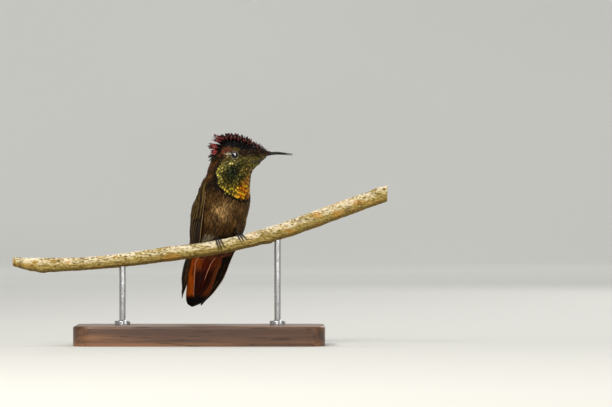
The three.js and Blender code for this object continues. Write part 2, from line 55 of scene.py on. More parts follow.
VIEW = {"place": (0.0424, -2.5, 0.0566), "wide": 0.2448}
AIM = (0.01, 0.0, 0.06)
SOFT_BOXES = [
    # name, place, aim, size, power, colour
    ("key", (-0.42, -0.95, 0.8), AIM, 0.42, 12.0, (1.0, 0.96, 0.88)),
    ("fill", (0.85, -0.8, 0.35), AIM, 0.5, 2.0, (1.0, 0.97, 0.92)),
    ("front", (-0.12, -1.5, 0.3), AIM, 0.14, 1.6, (1.0, 1.0, 1.0)),
    ("top", (0.1, 0.45, 0.9), AIM, 0.6, 4.0, (1.0, 1.0, 1.0)),
    ("back", (0.7, 1.4, 0.7), AIM, 0.6, 6.0, (1.0, 0.98, 0.95)),
    ("backdrop", (0.0, 2.4, 2.4), (0.0, 4.6, 0.2), 2.6, 48.0, (1.0, 1.0, 1.0)),
]


def tone(red, green, blue):
    """A paint chip's red, green and blue out of 255 as a shader colour."""
    mixed = []
    for part in (red, green, blue):
        share = part / 255
        mixed.append(share / 12.92 if share <= 0.04045 else ((share + 0.055) / 1.055) ** 2.4)
    return (*mixed, 1.0)


class Wire:
    """A socket in a material. Sums written on it in Python add the nodes that work them out."""

    def __init__(self, tree, socket):
        self.tree = tree
        self.socket = socket

    def node(self, kind, settings, inputs, output=0):
        """Adds a node: its settings first, then the values or wires of its sockets."""
        made = self.tree.nodes.new("ShaderNode" + kind)
        for name, value in settings.items():
            setattr(made, name, value)
        for name, value in inputs.items():
            if isinstance(value, Wire):
                self.tree.links.new(value.socket, made.inputs[name])
            else:
                made.inputs[name].default_value = value
        return Wire(self.tree, made.outputs[output])

    def math(self, operation, first, second=0.0):
        return self.node("Math", {"operation": operation}, {0: first, 1: second})

    def __add__(self, other):
        return self.math("ADD", self, other)

    __radd__ = __add__

    def __sub__(self, other):
        return self.math("SUBTRACT", self, other)

    def __rsub__(self, other):
        return self.math("SUBTRACT", other, self)

    def __mul__(self, other):
        return self.math("MULTIPLY", self, other)

    __rmul__ = __mul__

    def __pow__(self, other):
        return self.math("POWER", self, other)

    def sine(self):
        return self.math("SINE", self)

    def size(self):
        return self.math("ABSOLUTE", self)

    def rise(self, low, high):
        """0 below low and 1 above high, with a smooth step between them."""
        return self.node("MapRange", {"interpolation_type": "SMOOTHSTEP"}, {0: self, 1: low, 2: high})

    def blend(self, first, second):
        """The first colour where this is 0 and the second where it is 1."""
        # Inputs 0, 6 and 7 are the share and the two colours, and output 2 is the colour they make.
        return self.node("Mix", {"data_type": "RGBA"}, {0: self, 6: first, 7: second}, 2)

    def scaled(self, x, y, z):
        """A place, stretched along each axis."""
        return self.node("VectorMath", {"operation": "MULTIPLY"}, {0: self, 1: (x, y, z)})

    def axis(self, letter):
        return self.node("SeparateXYZ", {}, {0: self}, letter)

    def noise(self, scale, detail=3.0, rough=0.5):
        """Soft clouds of numbers round a half."""
        inputs = {"Vector": self, "Scale": scale, "Detail": detail, "Roughness": rough}
        return self.node("TexNoise", {}, inputs)

    def spots(self, scale):
        """The distance to the nearest of many scattered spots."""
        return self.node("TexVoronoi", {}, {"Vector": self, "Scale": scale}, "Distance")


class Finish:
    """A new material. Its places and attributes start the sums, and wear() gives it to a piece."""

    def __init__(self, name, **even):
        self.material = bpy.data.materials.new(name)
        self.material.use_nodes = True
        self.tree = self.material.node_tree
        self.shader = self.tree.nodes["Principled BSDF"]
        for socket, value in even.items():
            self.shader.inputs[socket.replace("_", " ")].default_value = value
        self.start = Wire(self.tree, None)

    def place(self):
        return self.start.node("TexCoord", {}, {}, "Object")

    def facing(self):
        return self.start.node("NewGeometry", {}, {}, "Normal")

    def mark(self, name, output="Vector"):
        """An attribute of the piece, as numbers or as a Color."""
        return self.start.node("Attribute", {"attribute_name": name}, {}, output)

    def colour(self, wire):
        self.tree.links.new(wire.socket, self.shader.inputs["Base Color"])

    def vary(self, socket, wire):
        self.tree.links.new(wire.socket, self.shader.inputs[socket])

    def relief(self, height, depth, strength=1.0):
        """Raises the surface by height, in metres of depth."""
        bump = self.start.node("Bump", {}, {"Height": height, "Distance": depth, "Strength": strength})
        self.tree.links.new(bump.socket, self.shader.inputs["Normal"])

    def wear(self, piece):
        piece.data.materials.clear()
        piece.data.materials.append(self.material)


def let_go():
    """Nothing is selected, so that the next step touches only what it adds or picks."""
    if bpy.context.object and bpy.context.object.mode != "OBJECT":
        bpy.ops.object.mode_set(mode="OBJECT")
    bpy.ops.object.select_all(action="DESELECT")


def pick(piece, kind, test):
    """In edit mode, only the faces or edges whose middle and direction pass the test are selected."""
    bpy.ops.mesh.select_mode(type=kind)
    bpy.ops.mesh.select_all(action="DESELECT")
    bpy.ops.object.mode_set(mode="OBJECT")
    mesh = piece.data
    if kind == "FACE":
        for face in mesh.polygons:
            face.select = test(face.center, face.normal)
    else:
        for edge in mesh.edges:
            ends = [mesh.vertices[number].co for number in edge.vertices]
            edge.select = test((ends[0] + ends[1]) / 2, (ends[1] - ends[0]).normalized())
    bpy.ops.object.mode_set(mode="EDIT")


def settle(name, finish, smooth=35):
    """Ends the modelling: the piece's place goes into its mesh, and it gets its name, shading and finish."""
    piece = bpy.context.object
    if piece.mode != "OBJECT":
        bpy.ops.object.mode_set(mode="OBJECT")
    bpy.ops.object.transform_apply(location=True, rotation=True, scale=True)
    bpy.ops.object.shade_smooth_by_angle(angle=math.radians(smooth))
    piece.name = name
    finish.wear(piece)
    return piece


studio_grey = Finish("studio_grey", Roughness=0.85)
cloudy = studio_grey.place().noise(0.9, 2.0)
studio_grey.colour(cloudy.rise(0.3, 0.7).blend(tone(203, 203, 199), tone(210, 210, 206)))
let_go()
bpy.ops.mesh.primitive_plane_add(size=SWEEP["size"], location=(0, SWEEP["behind"] - SWEEP["size"] / 2, 0))
bpy.ops.object.transform_apply(location=True)
bpy.ops.object.mode_set(mode="EDIT")
sweep = bpy.context.object
pick(sweep, "EDGE", lambda middle, way: middle.y > SWEEP["behind"] - 0.01)
bpy.ops.mesh.extrude_region_move(TRANSFORM_OT_translate={"value": (0, 0, SWEEP["size"] / 2)})
pick(sweep, "EDGE", lambda middle, way: middle.y > SWEEP["behind"] - 0.01 and abs(middle.z) < 0.01)
bpy.ops.mesh.bevel(offset=SWEEP["bend"], segments=24)
settle("studio_sweep", studio_grey, 60)

for name, place, aim, size, power, colour in SOFT_BOXES:
    turned = (Vector(aim) - Vector(place)).to_track_quat("-Z", "Y").to_euler()
    bpy.ops.object.light_add(type="AREA", location=place, rotation=turned)
    box = bpy.context.object
    box.name = "soft_box_" + name
    box.data.shape = "DISK"
    box.data.size = size
    box.data.energy = power
    box.data.color = colour

room = bpy.data.worlds.new("studio")
room.use_nodes = True
room.node_tree.nodes["Background"].inputs["Color"].default_value = tone(240, 240, 238)
room.node_tree.nodes["Background"].inputs["Strength"].default_value = 0.4
bpy.context.scene.world = room
bpy.context.scene.view_settings.view_transform = "Standard"

camera = bpy.data.objects.new("camera", bpy.data.cameras.new("camera"))
bpy.context.collection.objects.link(camera)
camera.location = VIEW["place"]
camera.rotation_euler = (math.pi / 2, 0, 0)
camera.data.lens = camera.data.sensor_width * -VIEW["place"][1] / VIEW["wide"]
bpy.context.scene.camera = camera

# ---------------------------------------------------------------------------------------------------
# The base: one flat block of oiled walnut with round corners, a small moulding round its upper edge and a
# shallow hollow underneath, so that it stands on its rim. The grain runs along it.
# ---------------------------------------------------------------------------------------------------
BLOCK = {
    "corner": 8 * MM,
    "moulding": 1.2 * MM,
    "rebate": 3 * MM,
    "rebate_depth": 0.5 * MM,
    "arris": 0.2 * MM,
}


def walnut_finish():
    """Oiled walnut: long wavy rings along X, dark pores, and a soft satin coat."""
    made = Finish("oiled_walnut", Roughness=0.42, Coat_Weight=0.25, Coat_Roughness=0.25)
    place = made.place()
    sway = place.scaled(6, 60, 60).noise(1.0, 2.0) * 1.2
    rings = (place.axis("Y") * 260 + sway * 6.0 + place.axis("Z") * 300).sine()
    figure = place.scaled(14, 420, 420).noise(1.0, 5.0, 0.6)
    pores = place.scaled(90, 1500, 1500).noise(1.0, 2.0, 0.4).rise(0.62, 0.7)
    wood = (rings * 0.2 + figure).rise(0.25, 0.8).blend(tone(74, 46, 28), tone(138, 94, 60))
    made.colour((pores * 0.7).blend(wood, tone(42, 25, 15)))
    made.vary("Roughness", 0.38 + pores * 0.3 + figure * 0.1)
    made.relief(1 - pores, 0.00006, 0.6)
    return made


low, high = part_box("stand_base")
let_go()
bpy.ops.mesh.primitive_cube_add(size=1, location=(low + high) / 2, scale=high - low)
bpy.ops.object.transform_apply(scale=True)
base = bpy.context.object
bpy.ops.object.mode_set(mode="EDIT")
pick(base, "EDGE", lambda middle, way: abs(way.z) > 0.9)
bpy.ops.mesh.bevel(offset=BLOCK["corner"], segments=16)
pick(base, "FACE", lambda middle, way: way.z > 0.9)
bpy.ops.mesh.region_to_loop()
bpy.ops.mesh.bevel(offset=BLOCK["moulding"], segments=6, profile=0.62)
pick(base, "FACE", lambda middle, way: way.z < -0.9)
bpy.ops.mesh.inset(thickness=BLOCK["rebate"])
bpy.ops.mesh.inset(thickness=BLOCK["arris"], depth=-BLOCK["rebate_depth"])
settle("base_block", walnut_finish(), 30)
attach(base, "root")
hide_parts("stand_base")

# ---------------------------------------------------------------------------------------------------
# The two rods: brushed steel wire, each with a turned foot flange screwed to the block and a sloping
# shoulder. They carry the twig from below.
# ---------------------------------------------------------------------------------------------------
FLANGE = {"high": 1.6 * MM, "edge": 0.3 * MM, "fillet": 0.35 * MM, "wire": 1.25 * MM, "top_edge": 0.25 * MM}


def steel_finish():
    """Stainless steel with fine brushing that runs round the rod, and faint finger marks."""
    made = Finish("brushed_steel", Metallic=1.0)
    place = made.place()
    brushing = place.scaled(60, 60, 9000).noise(1.0, 3.0, 0.6)
    marks = place.noise(220, 2.0).rise(0.45, 0.75)
    made.colour(marks.blend(tone(196, 197, 198), tone(172, 172, 170)))
    made.vary("Roughness", 0.2 + brushing * 0.16 + marks * 0.1)
    made.relief(brushing, 0.00001, 0.5)
    return made


steel = steel_finish()
for side in ("left", "right"):
    node = "stand_rod_" + side
    low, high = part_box(node)
    middle = (low + high) / 2
    wide = (high.x - low.x) / 2
    let_go()
    foot = (middle.x, middle.y, low.z + FLANGE["high"] / 2)
    bpy.ops.mesh.primitive_cylinder_add(vertices=64, radius=wide, depth=FLANGE["high"], location=foot)
    bpy.ops.object.transform_apply(location=True)
    rod = bpy.context.object
    bpy.ops.object.mode_set(mode="EDIT")
    pick(rod, "FACE", lambda middle, way: way.z > 0.9)
    bpy.ops.mesh.region_to_loop()
    bpy.ops.mesh.bevel(offset=FLANGE["edge"], segments=4)
    pick(rod, "FACE", lambda middle, way: way.z > 0.99)
    bpy.ops.mesh.inset(thickness=wide - FLANGE["edge"] - FLANGE["wire"] - FLANGE["fillet"])
    bpy.ops.mesh.inset(thickness=FLANGE["fillet"], depth=FLANGE["fillet"])
    shank = high.z - low.z - FLANGE["high"] - FLANGE["fillet"]
    bpy.ops.mesh.extrude_region_move(TRANSFORM_OT_translate={"value": (0, 0, shank)})
    bpy.ops.mesh.region_to_loop()
    bpy.ops.mesh.bevel(offset=FLANGE["top_edge"], segments=3)
    settle("rod_" + side, steel)
    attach(rod, "root")
    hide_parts(node)

# ---------------------------------------------------------------------------------------------------
# The twig: a length of dry, pale-barked branch, sawn off square at both ends. It is a refined copy of the
# frame's twig, with wrinkled bark, swellings, old bud scars and sawn end grain.
# ---------------------------------------------------------------------------------------------------
BARK_GRAIN = 0.26 * MM  # the size of the mesh that carries the bark's relief
BARK_LUMPS = [(5.0 * MM, 0.34 * MM), (1.6 * MM, 0.22 * MM)]  # size and height of the bark's swellings
BARK_GIRTH = [
    # along the twig, and how much the bark thickens it there
    (-75.0, 1.08), (-68.0, 1.12), (-52.0, 1.03), (-36.0, 1.14), (-12.0, 1.12), (0.0, 1.07), (18.0, 1.07),
    (30.0, 1.15), (44.0, 1.21), (60.0, 1.18), (75.0, 1.13),
]
BUD_SCARS = [
    # along the twig, degrees round it from the front, how wide and how high the swelling is
    (-63.0, -70, 2.6, 0.55),
    (-71.5, 20, 1.5, 0.30),
    (-47.0, 60, 1.7, 0.30),
    (-33.0, -20, 1.5, 0.22),
    (27.5, -75, 2.4, 0.50),
    (40.0, 35, 1.6, 0.28),
    (59.0, -10, 1.9, 0.34),
    (70.0, 80, 1.6, 0.30),
]
SAWN = {"deep": 0.35, "inside": 0.93}  # how deep the end grain shows, and its share of the twig's radius
RADIUS = {"wood": 2.8, "bark": 3.2}  # the frame twig's radius and the finished one's, in millimetres
SLICES = 60  # short slices along the twig, whose middles make its middle line


def clone(name, nodes, swell=0.0):
    """Copies of frame nodes as one loose piece, each merged and swollen a little first."""
    copies = []
    for node in nodes:
        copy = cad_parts[node].copy()
        copy.data = copy.data.copy()
        copy.parent = None
        copy.hide_viewport = False
        copy.hide_render = False
        for key in list(copy.keys()):
            del copy[key]
        bpy.context.collection.objects.link(copy)
        let_go()
        copy.select_set(True)
        bpy.context.view_layer.objects.active = copy
        bpy.ops.object.mode_set(mode="EDIT")
        bpy.ops.mesh.select_all(action="SELECT")
        bpy.ops.mesh.remove_doubles(threshold=0.002 * MM)
        bpy.ops.object.mode_set(mode="OBJECT")
        if swell:
            add_modifier(copy, "DISPLACE", strength=swell, mid_level=0.0)
        copies.append(copy)
    let_go()
    for copy in copies:
        copy.select_set(True)
    bpy.context.view_layer.objects.active = copies[0]
    if len(copies) > 1:
        bpy.ops.object.join()
    joined = bpy.context.object
    joined.name = name
    return joined


def add_modifier(piece, kind, **settings):
    """Adds a modifier to the active piece and applies it."""
    made = piece.modifiers.new(kind.lower(), kind)
    for name, value in settings.items():
        setattr(made, name, value)
    bpy.context.view_layer.objects.active = piece
    bpy.ops.object.modifier_apply(modifier=made.name)


def points_of(piece, field="co"):
    """A piece's points as rows of x, y and z in metres."""
    found = np.empty(len(piece.data.vertices) * 3)
    piece.data.vertices.foreach_get(field, found)
    return found.reshape(-1, 3)


def normals_of(piece):
    return points_of(piece, "normal")


def move_points(piece, places):
    piece.data.vertices.foreach_set("co", np.ascontiguousarray(places, dtype=np.float64).ravel())
    piece.data.update()


def mark_points(piece, name, kind, values):
    """Writes an attribute on a piece's points, for its finish to read."""
    made = piece.data.attributes.new(name, kind, "POINT")
    field = {"FLOAT": "value", "FLOAT_VECTOR": "vector", "FLOAT_COLOR": "color"}[kind]
    made.data.foreach_set(field, np.ascontiguousarray(values, dtype=np.float32).ravel())


def bark_finish():
    """Dry khaki bark with tan patches, brown specks and cracks, and pale sawn ends, with a painted highlight
    in pale patches on top and painted shade underneath.
    """
    made = Finish("dry_bark", Roughness=0.85, Specular_IOR_Level=0.2)
    place = made.place()
    along = place.scaled(0.35, 1, 1)
    broad = along.noise(420, 4.0, 0.6)
    fine = place.scaled(0.6, 1, 1).noise(1500, 5.0, 0.7)
    up = made.facing().axis("Z")
    bark = fine.rise(0.4, 0.6).blend(tone(134, 112, 48), tone(190, 168, 102))
    bark = (along.noise(230, 2.0).rise(0.52, 0.66) * 0.8).blend(bark, tone(190, 140, 62))
    # Pale patches where the bark faces up: a painted highlight.
    bark = (up.rise(-0.25, 0.7) * (fine * 1.2 + broad).rise(0.95, 1.2)).blend(bark, tone(240, 228, 198))
    # Darker where the bark faces down: painted shade.
    bark = (up.rise(0.0, -0.85) * 0.65).blend(bark, tone(98, 78, 28))
    cracks = place.scaled(0.14, 1, 1).spots(1300).rise(0.34, 0.12) * fine.rise(0.42, 0.56)
    specks = place.scaled(0.7, 1, 1).spots(760).rise(0.36, 0.16) * place.noise(420, 2.0).rise(0.42, 0.54)
    bark = (cracks * 0.7).blend(bark, tone(104, 78, 40))
    bark = (specks * 0.85).blend(bark, tone(92, 64, 30))
    bark = (made.mark("scar", "Fac") * 0.7).blend(bark, tone(104, 78, 44))
    rings = (made.mark("core", "Fac") * 34).sine() * 0.5 + 0.5
    wood = (rings * 0.5 + fine * 0.4).blend(tone(186, 156, 108), tone(216, 194, 150))
    wood = made.mark("core", "Fac").rise(0.22, 0.14).blend(wood, tone(130, 96, 60))
    made.colour(made.mark("sawn", "Fac").blend(bark, wood))
    made.relief(fine * 1.2 - cracks * 0.9 - specks * 0.5 + broad * 0.8, 0.00034, 1.0)
    return made


let_go()
twig = clone("twig", ["perch"])
add_modifier(twig, "REMESH", mode="VOXEL", voxel_size=BARK_GRAIN, use_smooth_shade=True)
add_modifier(twig, "SMOOTH", factor=0.5, iterations=10)
for size, height in BARK_LUMPS:
    lumps = bpy.data.textures.new("bark_lumps", "CLOUDS")
    lumps.noise_scale = size
    lumps.noise_depth = 3
    add_modifier(twig, "DISPLACE", strength=height, mid_level=0.62, texture=lumps)
places = points_of(twig) / MM
slices = np.linspace(places[:, 0].min(), places[:, 0].max(), SLICES + 1)
twig_along = (slices[:-1] + slices[1:]) / 2
which = np.clip(np.digitize(places[:, 0], slices) - 1, 0, SLICES - 1)
twig_height = np.array([places[which == number, 2].mean() for number in range(SLICES)])
rise = places[:, 2] - np.interp(places[:, 0], twig_along, twig_height)
fuller = np.interp(places[:, 0], *zip(*BARK_GIRTH))
places[:, 2] += rise * (fuller - 1)
places[:, 1] *= fuller
rise *= fuller
round_way = np.arctan2(rise, -places[:, 1])
scar = np.zeros(len(places))
for along, turn, wide, proud in BUD_SCARS:
    round_gap = (round_way - math.radians(turn) + math.pi) % (2 * math.pi) - math.pi
    away = np.hypot(places[:, 0] - along, round_gap * RADIUS["wood"]) / wide
    scar = np.maximum(scar, np.exp(-((away * 1.6) ** 4)))
    swelling = proud * (np.exp(-((away * 1.5) ** 2)) - 0.5 * np.exp(-((away * 4) ** 2)))
    places += normals_of(twig) * swelling[:, None]
core = np.hypot(rise, places[:, 1]) / RADIUS["bark"]
ends = np.maximum(places[:, 0] - places[:, 0].max(), places[:, 0].min() - places[:, 0]) > -SAWN["deep"]
move_points(twig, places * MM)
mark_points(twig, "scar", "FLOAT", scar * 0.8)
mark_points(twig, "core", "FLOAT", core)
mark_points(twig, "sawn", "FLOAT", ends & (core < SAWN["inside"]))
settle("twig", bark_finish(), 60)
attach(twig, "root")
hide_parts("perch")

# ---------------------------------------------------------------------------------------------------
# The skin: one closed hide over the head, neck, trunk, thighs, tail root and the arms of both wings, with a
# lid round each eye. It is drawn from the frame's solids of flesh and lies the coat's depth inside them, or
# less round the eyes and at the root of the bill.
# ---------------------------------------------------------------------------------------------------
FLESH = ["head", "neck", "trunk", "tail_coverts", "thigh_right", "thigh_left"]
ARMS = ["wing_right_coverts", "wing_left_coverts"]
HIDE = {"grain": 0.30 * MM, "bridge": 0.16 * MM, "coat": 0.62 * MM, "face_coat": 0.42 * MM, "rump": 0.5 * MM}
LID = {"across": 1.34 * MM, "thick": 0.2 * MM, "proud": 0.98 * MM}
EYE = {"forward": 0.35, "lower": 0.15, "ahead": 0.03}  # the eye's shift in its socket, and its turn ahead
KEPT = {"eye": (3.2, 2.2), "bill": (20.5, 24.5)}  # how near an eye and how far ahead the hide isn't smoothed

# The bird's middle line in millimetres, from the tail's tip up to the crown: each height has the middle's x
# and y, and the bearing that the bird's front faces there, in degrees from -Y towards +X.
HEIGHTS = [15.0, 27.5, 36.5, 46.8, 58.0, 66.0, 70.4, 75.2, 84.0]
MIDDLE_X = [-3.0, 1.0, 5.2, 7.9, 9.5, 11.0, 11.7, 12.0, 12.8]
MIDDLE_Y = [20.4, 14.6, 9.9, 6.6, 4.3, 3.2, 2.8, 2.4, 2.4]
FACES = [28, 29, 34, 37, 48, 61, 74, 86, 88]
# The shoulders: how far they are drawn in, between which heights, and how far behind the middle line.
SHOULDER = {"drawn": 1.1, "foot": (55, 60), "top": (70, 65.5), "behind": (4, 10)}
# The rump: how much wider it is made and between which heights, then the height below which the coverts under
# it are drawn up, how far, how gently that starts, and how near the body's front it ends.
RUMP = {
    "wider": 0.28, "top": (41, 37), "foot": (29, 33),
    "drawn_below": 38, "drawn": 5.2, "ease": 4.6, "front": (-2.9, -1.3),
}


def middle_at(height):
    """The bird's middle line at each height."""
    x = np.interp(height, HEIGHTS, MIDDLE_X)
    y = np.interp(height, HEIGHTS, MIDDLE_Y)
    return np.stack([x, y, np.asarray(height, float)], axis=-1)


def round_bird(places):
    """Degrees round the bird from its front: negative on its right side and positive on its left."""
    gap = places - middle_at(places[:, 2])
    way = np.degrees(np.arctan2(gap[:, 0], -gap[:, 1])) - np.interp(places[:, 2], HEIGHTS, FACES)
    return (way + 180) % 360 - 180


def fade(values, low, high):
    """0 below low and 1 above high, with a smooth step between them. It falls where low is above high."""
    share = np.clip((values - low) / (high - low), 0, 1)
    return share * share * (3 - 2 * share)


def unit(ways):
    return ways / np.maximum(np.linalg.norm(ways, axis=-1, keepdims=True), 1e-9)


def bearings(heights):
    """The ways ahead of the bird and out to its left at each height."""
    face = np.radians(np.interp(heights, HEIGHTS, FACES))
    ahead = np.column_stack([np.sin(face), -np.cos(face), 0 * face])
    beside = np.column_stack([np.cos(face), np.sin(face), 0 * face])
    return ahead, beside


def slimmed(places):
    """The shoulders drawn in: what stands far behind the middle line moves ahead, to straighten the back."""
    heights = places[:, 2]
    ahead, _ = bearings(heights)
    behind = -np.sum((places - middle_at(heights)) * ahead, axis=1)
    shift = SHOULDER["drawn"] * fade(heights, *SHOULDER["foot"]) * fade(heights, *SHOULDER["top"])
    shift = shift * fade(behind, *SHOULDER["behind"])
    return places + ahead * shift[:, None]


def rumped(places):
    """The rump made wide enough for the tail's root, with the coverts under it drawn up along the body."""
    heights = places[:, 2]
    ahead, beside = bearings(heights)
    front = np.sum((places - middle_at(heights)) * ahead, axis=1)
    out = np.sum((places - middle_at(heights)) * beside, axis=1)
    wider = out * RUMP["wider"] * fade(heights, *RUMP["top"]) * fade(heights, *RUMP["foot"])
    places = places + beside * wider[:, None]
    below = np.maximum(RUMP["drawn_below"] - heights, 0)
    drawn = (below - RUMP["drawn"] * (1 - np.exp(-below / RUMP["ease"]))) * fade(front, *RUMP["front"])
    return places + middle_at(heights + np.maximum(drawn, 0)) - middle_at(heights)


def eye_places():
    """The middle of each eye and the way it looks, from its box: (centre, way), in millimetres."""
    found = {}
    for side, way in (("right", -1), ("left", 1)):
        low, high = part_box("eye_" + side)
        centre = np.array((low + high) / 2) / MM + [EYE["forward"], 0, -EYE["lower"]]
        found[side] = (centre, np.array([EYE["ahead"], way, 0.0]))
    return found


EYES = eye_places()
let_go()
hide = clone("hide", FLESH + ARMS, HIDE["bridge"])
move_points(hide, rumped(slimmed(points_of(hide) / MM)) * MM)
for centre, way in EYES.values():
    seat = Vector(centre * MM) + Vector(way) * LID["proud"]
    turned = Vector(way).to_track_quat("Z", "Y").to_euler()
    let_go()
    bpy.ops.mesh.primitive_torus_add(
        major_segments=32, minor_segments=10, major_radius=LID["across"], minor_radius=LID["thick"],
        location=seat, rotation=turned,
    )
    hide.select_set(True)
    bpy.context.view_layer.objects.active = hide
    bpy.ops.object.join()
add_modifier(hide, "REMESH", mode="VOXEL", voxel_size=HIDE["grain"], use_smooth_shade=True)
near_eye = np.zeros(len(hide.data.vertices))
for centre, way in EYES.values():
    away = np.linalg.norm(points_of(hide) / MM - centre, axis=1)
    near_eye = np.maximum(near_eye, fade(away, *KEPT["eye"]))
kept_form = np.maximum(near_eye, fade(points_of(hide)[:, 0] / MM, *KEPT["bill"]))
smoothing = hide.vertex_groups.new(name="smoothing")
for number, share in enumerate(kept_form):
    smoothing.add([number], 1 - share, "REPLACE")
add_modifier(hide, "SMOOTH", factor=0.5, iterations=14, vertex_group="smoothing")
places = points_of(hide)
heights = places[:, 2] / MM
depth = HIDE["coat"] + (HIDE["face_coat"] - HIDE["coat"]) * fade(heights, 64, 71)
depth = (depth + HIDE["bridge"] + HIDE["rump"] * fade(heights, 37, 33)) * (1 - kept_form)
move_points(hide, places - normals_of(hide) * depth[:, None])
add_modifier(hide, "SMOOTH", factor=0.5, iterations=6, vertex_group="smoothing")
hide.vertex_groups.clear()


def dye_of(chip):
    """A paint chip as the three numbers that feathers are coloured with."""
    return np.array(tone(*chip)[:3])


# The colours of the plumage, with some painted light among them, shared by the hide and every feather that
# grows from it.
DYE = {
    "bronze_back": (52, 42, 20),
    "belly_brown": (78, 52, 20),
    "breast_sheen": (182, 144, 92),
    "breast_plum": (92, 66, 32),
    "vent_umber": (46, 30, 10),
    "flank_white": (188, 180, 154),
    "undertail_rust": (140, 64, 18),
    "collar_black": (22, 14, 7),
    "nape_umber": (84, 52, 20),
    "nape_black": (24, 16, 9),
    "gorget_olive": (104, 98, 40),
    "gorget_shade": (22, 29, 16),
    "gorget_rim": (138, 118, 34),
    "gorget_fire": (226, 116, 8),
    "gorget_gold": (216, 152, 26),
    "cheek_gold": (106, 86, 42),
    "cheek_pale": (152, 142, 80),
    "throat_side": (134, 128, 62),
    "throat_tan": (146, 122, 56),
    "chin_tan": (96, 82, 40),
    "lore_umber": (50, 32, 18),
    "band_black": (5, 5, 4),
    "brow_rust": (120, 62, 38),
    "eye_white": (228, 214, 186),
    "eye_ring": (104, 102, 94),
    "brow_gold": (104, 84, 30),
}
DYE = {name: dye_of(chip) for name, chip in DYE.items()}
# The gorget's lower edge: degrees round the bird from its front, and the height of the edge there.
GORGET_EDGE = ([0, 12, 33, 62, 85, 102, 112], [58.5, 58.8, 60.0, 62.4, 65.2, 68.2, 71.0])
WAVES = 9  # the crossing waves that make the plumage a little uneven


def blot(across, up, wide, tall):
    """1 in the middle of a soft oval spot and 0 away from it."""
    return np.exp(-((across / wide) ** 2 + (up / tall) ** 2) ** 1.5)


def mottle(places):
    """A soft unevenness drawn out along the body: about 1 in its lightest places and -1 in its darkest."""
    chance = np.random.default_rng(3)
    total = np.zeros(len(places))
    for _ in range(WAVES):
        way = chance.standard_normal(3) * [1.5, 1.5, 0.55]
        total += np.cos(places @ way + chance.uniform(0, 6.28))
    return total / (WAVES / 2)


def plumage(places):
    """The bird's markings and some painted light: the colour at each place on it, the same on both sides.

    Each marking is laid over those before it. It is placed by degrees round the bird from its front, by its
    height, and by how far ahead it is towards the bill, in millimetres.
    """
    side = np.abs(round_bird(places))
    ahead = places[:, 0]
    height = places[:, 2]
    colour = np.tile(DYE["bronze_back"], (len(places), 1))

    def lay(dye, share):
        colour[:] += np.clip(share, 0, 1)[:, None] * (DYE[dye] - colour)

    front = fade(side, 128, 100)
    lay("belly_brown", front)
    uneven = mottle(places)
    # A painted highlight on the breast, patchy with the unevenness.
    sheen = blot(side - 44, height - 53.0, 28, 4.6) * (0.37 + 0.3 * uneven)
    lay("breast_sheen", front * sheen)
    lay("breast_plum", blot(side, height - 54, 24, 6) * 0.75)
    lay("vent_umber", front * fade(height, 50, 41) * 0.85)
    lay("flank_white", blot(side - 62, height - 41.4, 15, 2.6) * 0.8)
    rust = np.maximum(fade(height, 38, 34) * fade(side, 130, 100), fade(height, 31, 29.5))
    lay("undertail_rust", rust)
    edge = np.interp(side, *GORGET_EDGE)
    lay("nape_umber", fade(height, 61, 65) * fade(side, 96, 108))
    lay("nape_black", blot(side - 108, height - 63.5, 22, 3.6) * 0.85)
    lay("collar_black", fade(height, edge - 3.2, edge - 1.2) * fade(side, 128, 112))
    gorget = fade(height, edge - 0.5, edge + 0.4) * fade(side, 112, 106)
    lay("gorget_olive", gorget)
    lay("gorget_rim", gorget * fade(height, edge + 6.5, edge + 2.5) * 0.85)
    lay("throat_side", gorget * blot(side - 97, height - 67.5, 20, 6.5) * 0.8)
    # Painted shade over the throat's dark middle, where the gorget shows no sheen from the front.
    lay("gorget_shade", gorget * blot(side - 58, height - 68.6, 32, 5.4) * 0.96)
    # The gorget's orange flash on its front: partly the feathers' own topaz colour, partly a painted
    # reflection.
    fire = np.maximum(blot(side - 2, height - 61.4, 21, 4.3), blot(side, height - 66, 14, 4.0) * 0.3)
    fire = gorget * fire
    lay("gorget_fire", fire)
    # Painted glints: random gold specks in the flash.
    speck = np.abs(np.sin(places @ [12.99, 78.23, 37.72])) * 437.58 % 1
    lay("gorget_gold", fire * fade(speck, 0.5, 0.7) * 0.8)
    face = fade(height, 71.5, 73.5)
    lay("cheek_gold", gorget * face * fade(ahead, 16.5, 14) * fade(ahead, 5.5, 8) * 0.85)
    lay("throat_tan", gorget * blot(ahead - 19.4, height - 69.8, 3.2, 2.4) * 0.75)
    lay("cheek_pale", gorget * blot(ahead - 12.6, height - 72.0 - 0.31 * (ahead - 9.2), 4.2, 1.3) * 0.8)
    lay("chin_tan", gorget * face * fade(ahead, 15, 18.5) * 0.8)
    above = np.interp(ahead, [13.6, 18.0, 24.0, 27.0], [76.3, 75.7, 76.6, 77.0])
    lay("lore_umber", fade(height, above - 0.8, above + 0.2) * fade(ahead, 14.8, 16.2))
    lay("lore_umber", fade(height, above - 0.4, above + 0.4) * fade(ahead, 12, 9))
    gape = 75.7 + 0.15 * (ahead - 22.5)
    lay("band_black", blot(height * 0, height - gape, 1, 0.32) * fade(ahead, 20.5, 22.5) * 0.6)
    lay("brow_rust", blot(ahead - 10.8, height - 77.9, 2.6, 1.7) * fade(side, 20, 40))
    band = fade(height, 77.6, 78.6) * fade(ahead, 7.5, 9.5)
    lay("band_black", band * (1 - blot(ahead - 10.6, height - 77.9, 2.8, 1.5)))
    lay("brow_gold", blot(ahead - 14.4, height - 78.1, 1.3, 0.7) * fade(side, 20, 40))
    lay("eye_white", blot(ahead - 11.5, height - 76.4, 0.6, 0.65) * fade(side, 20, 40))
    ripple = gorget * fade(height, 73, 70) * np.sin(4.0 * (height - edge))
    return np.clip(colour * np.exp(0.42 * uneven + 0.8 * ripple)[:, None], 0.001, 1)


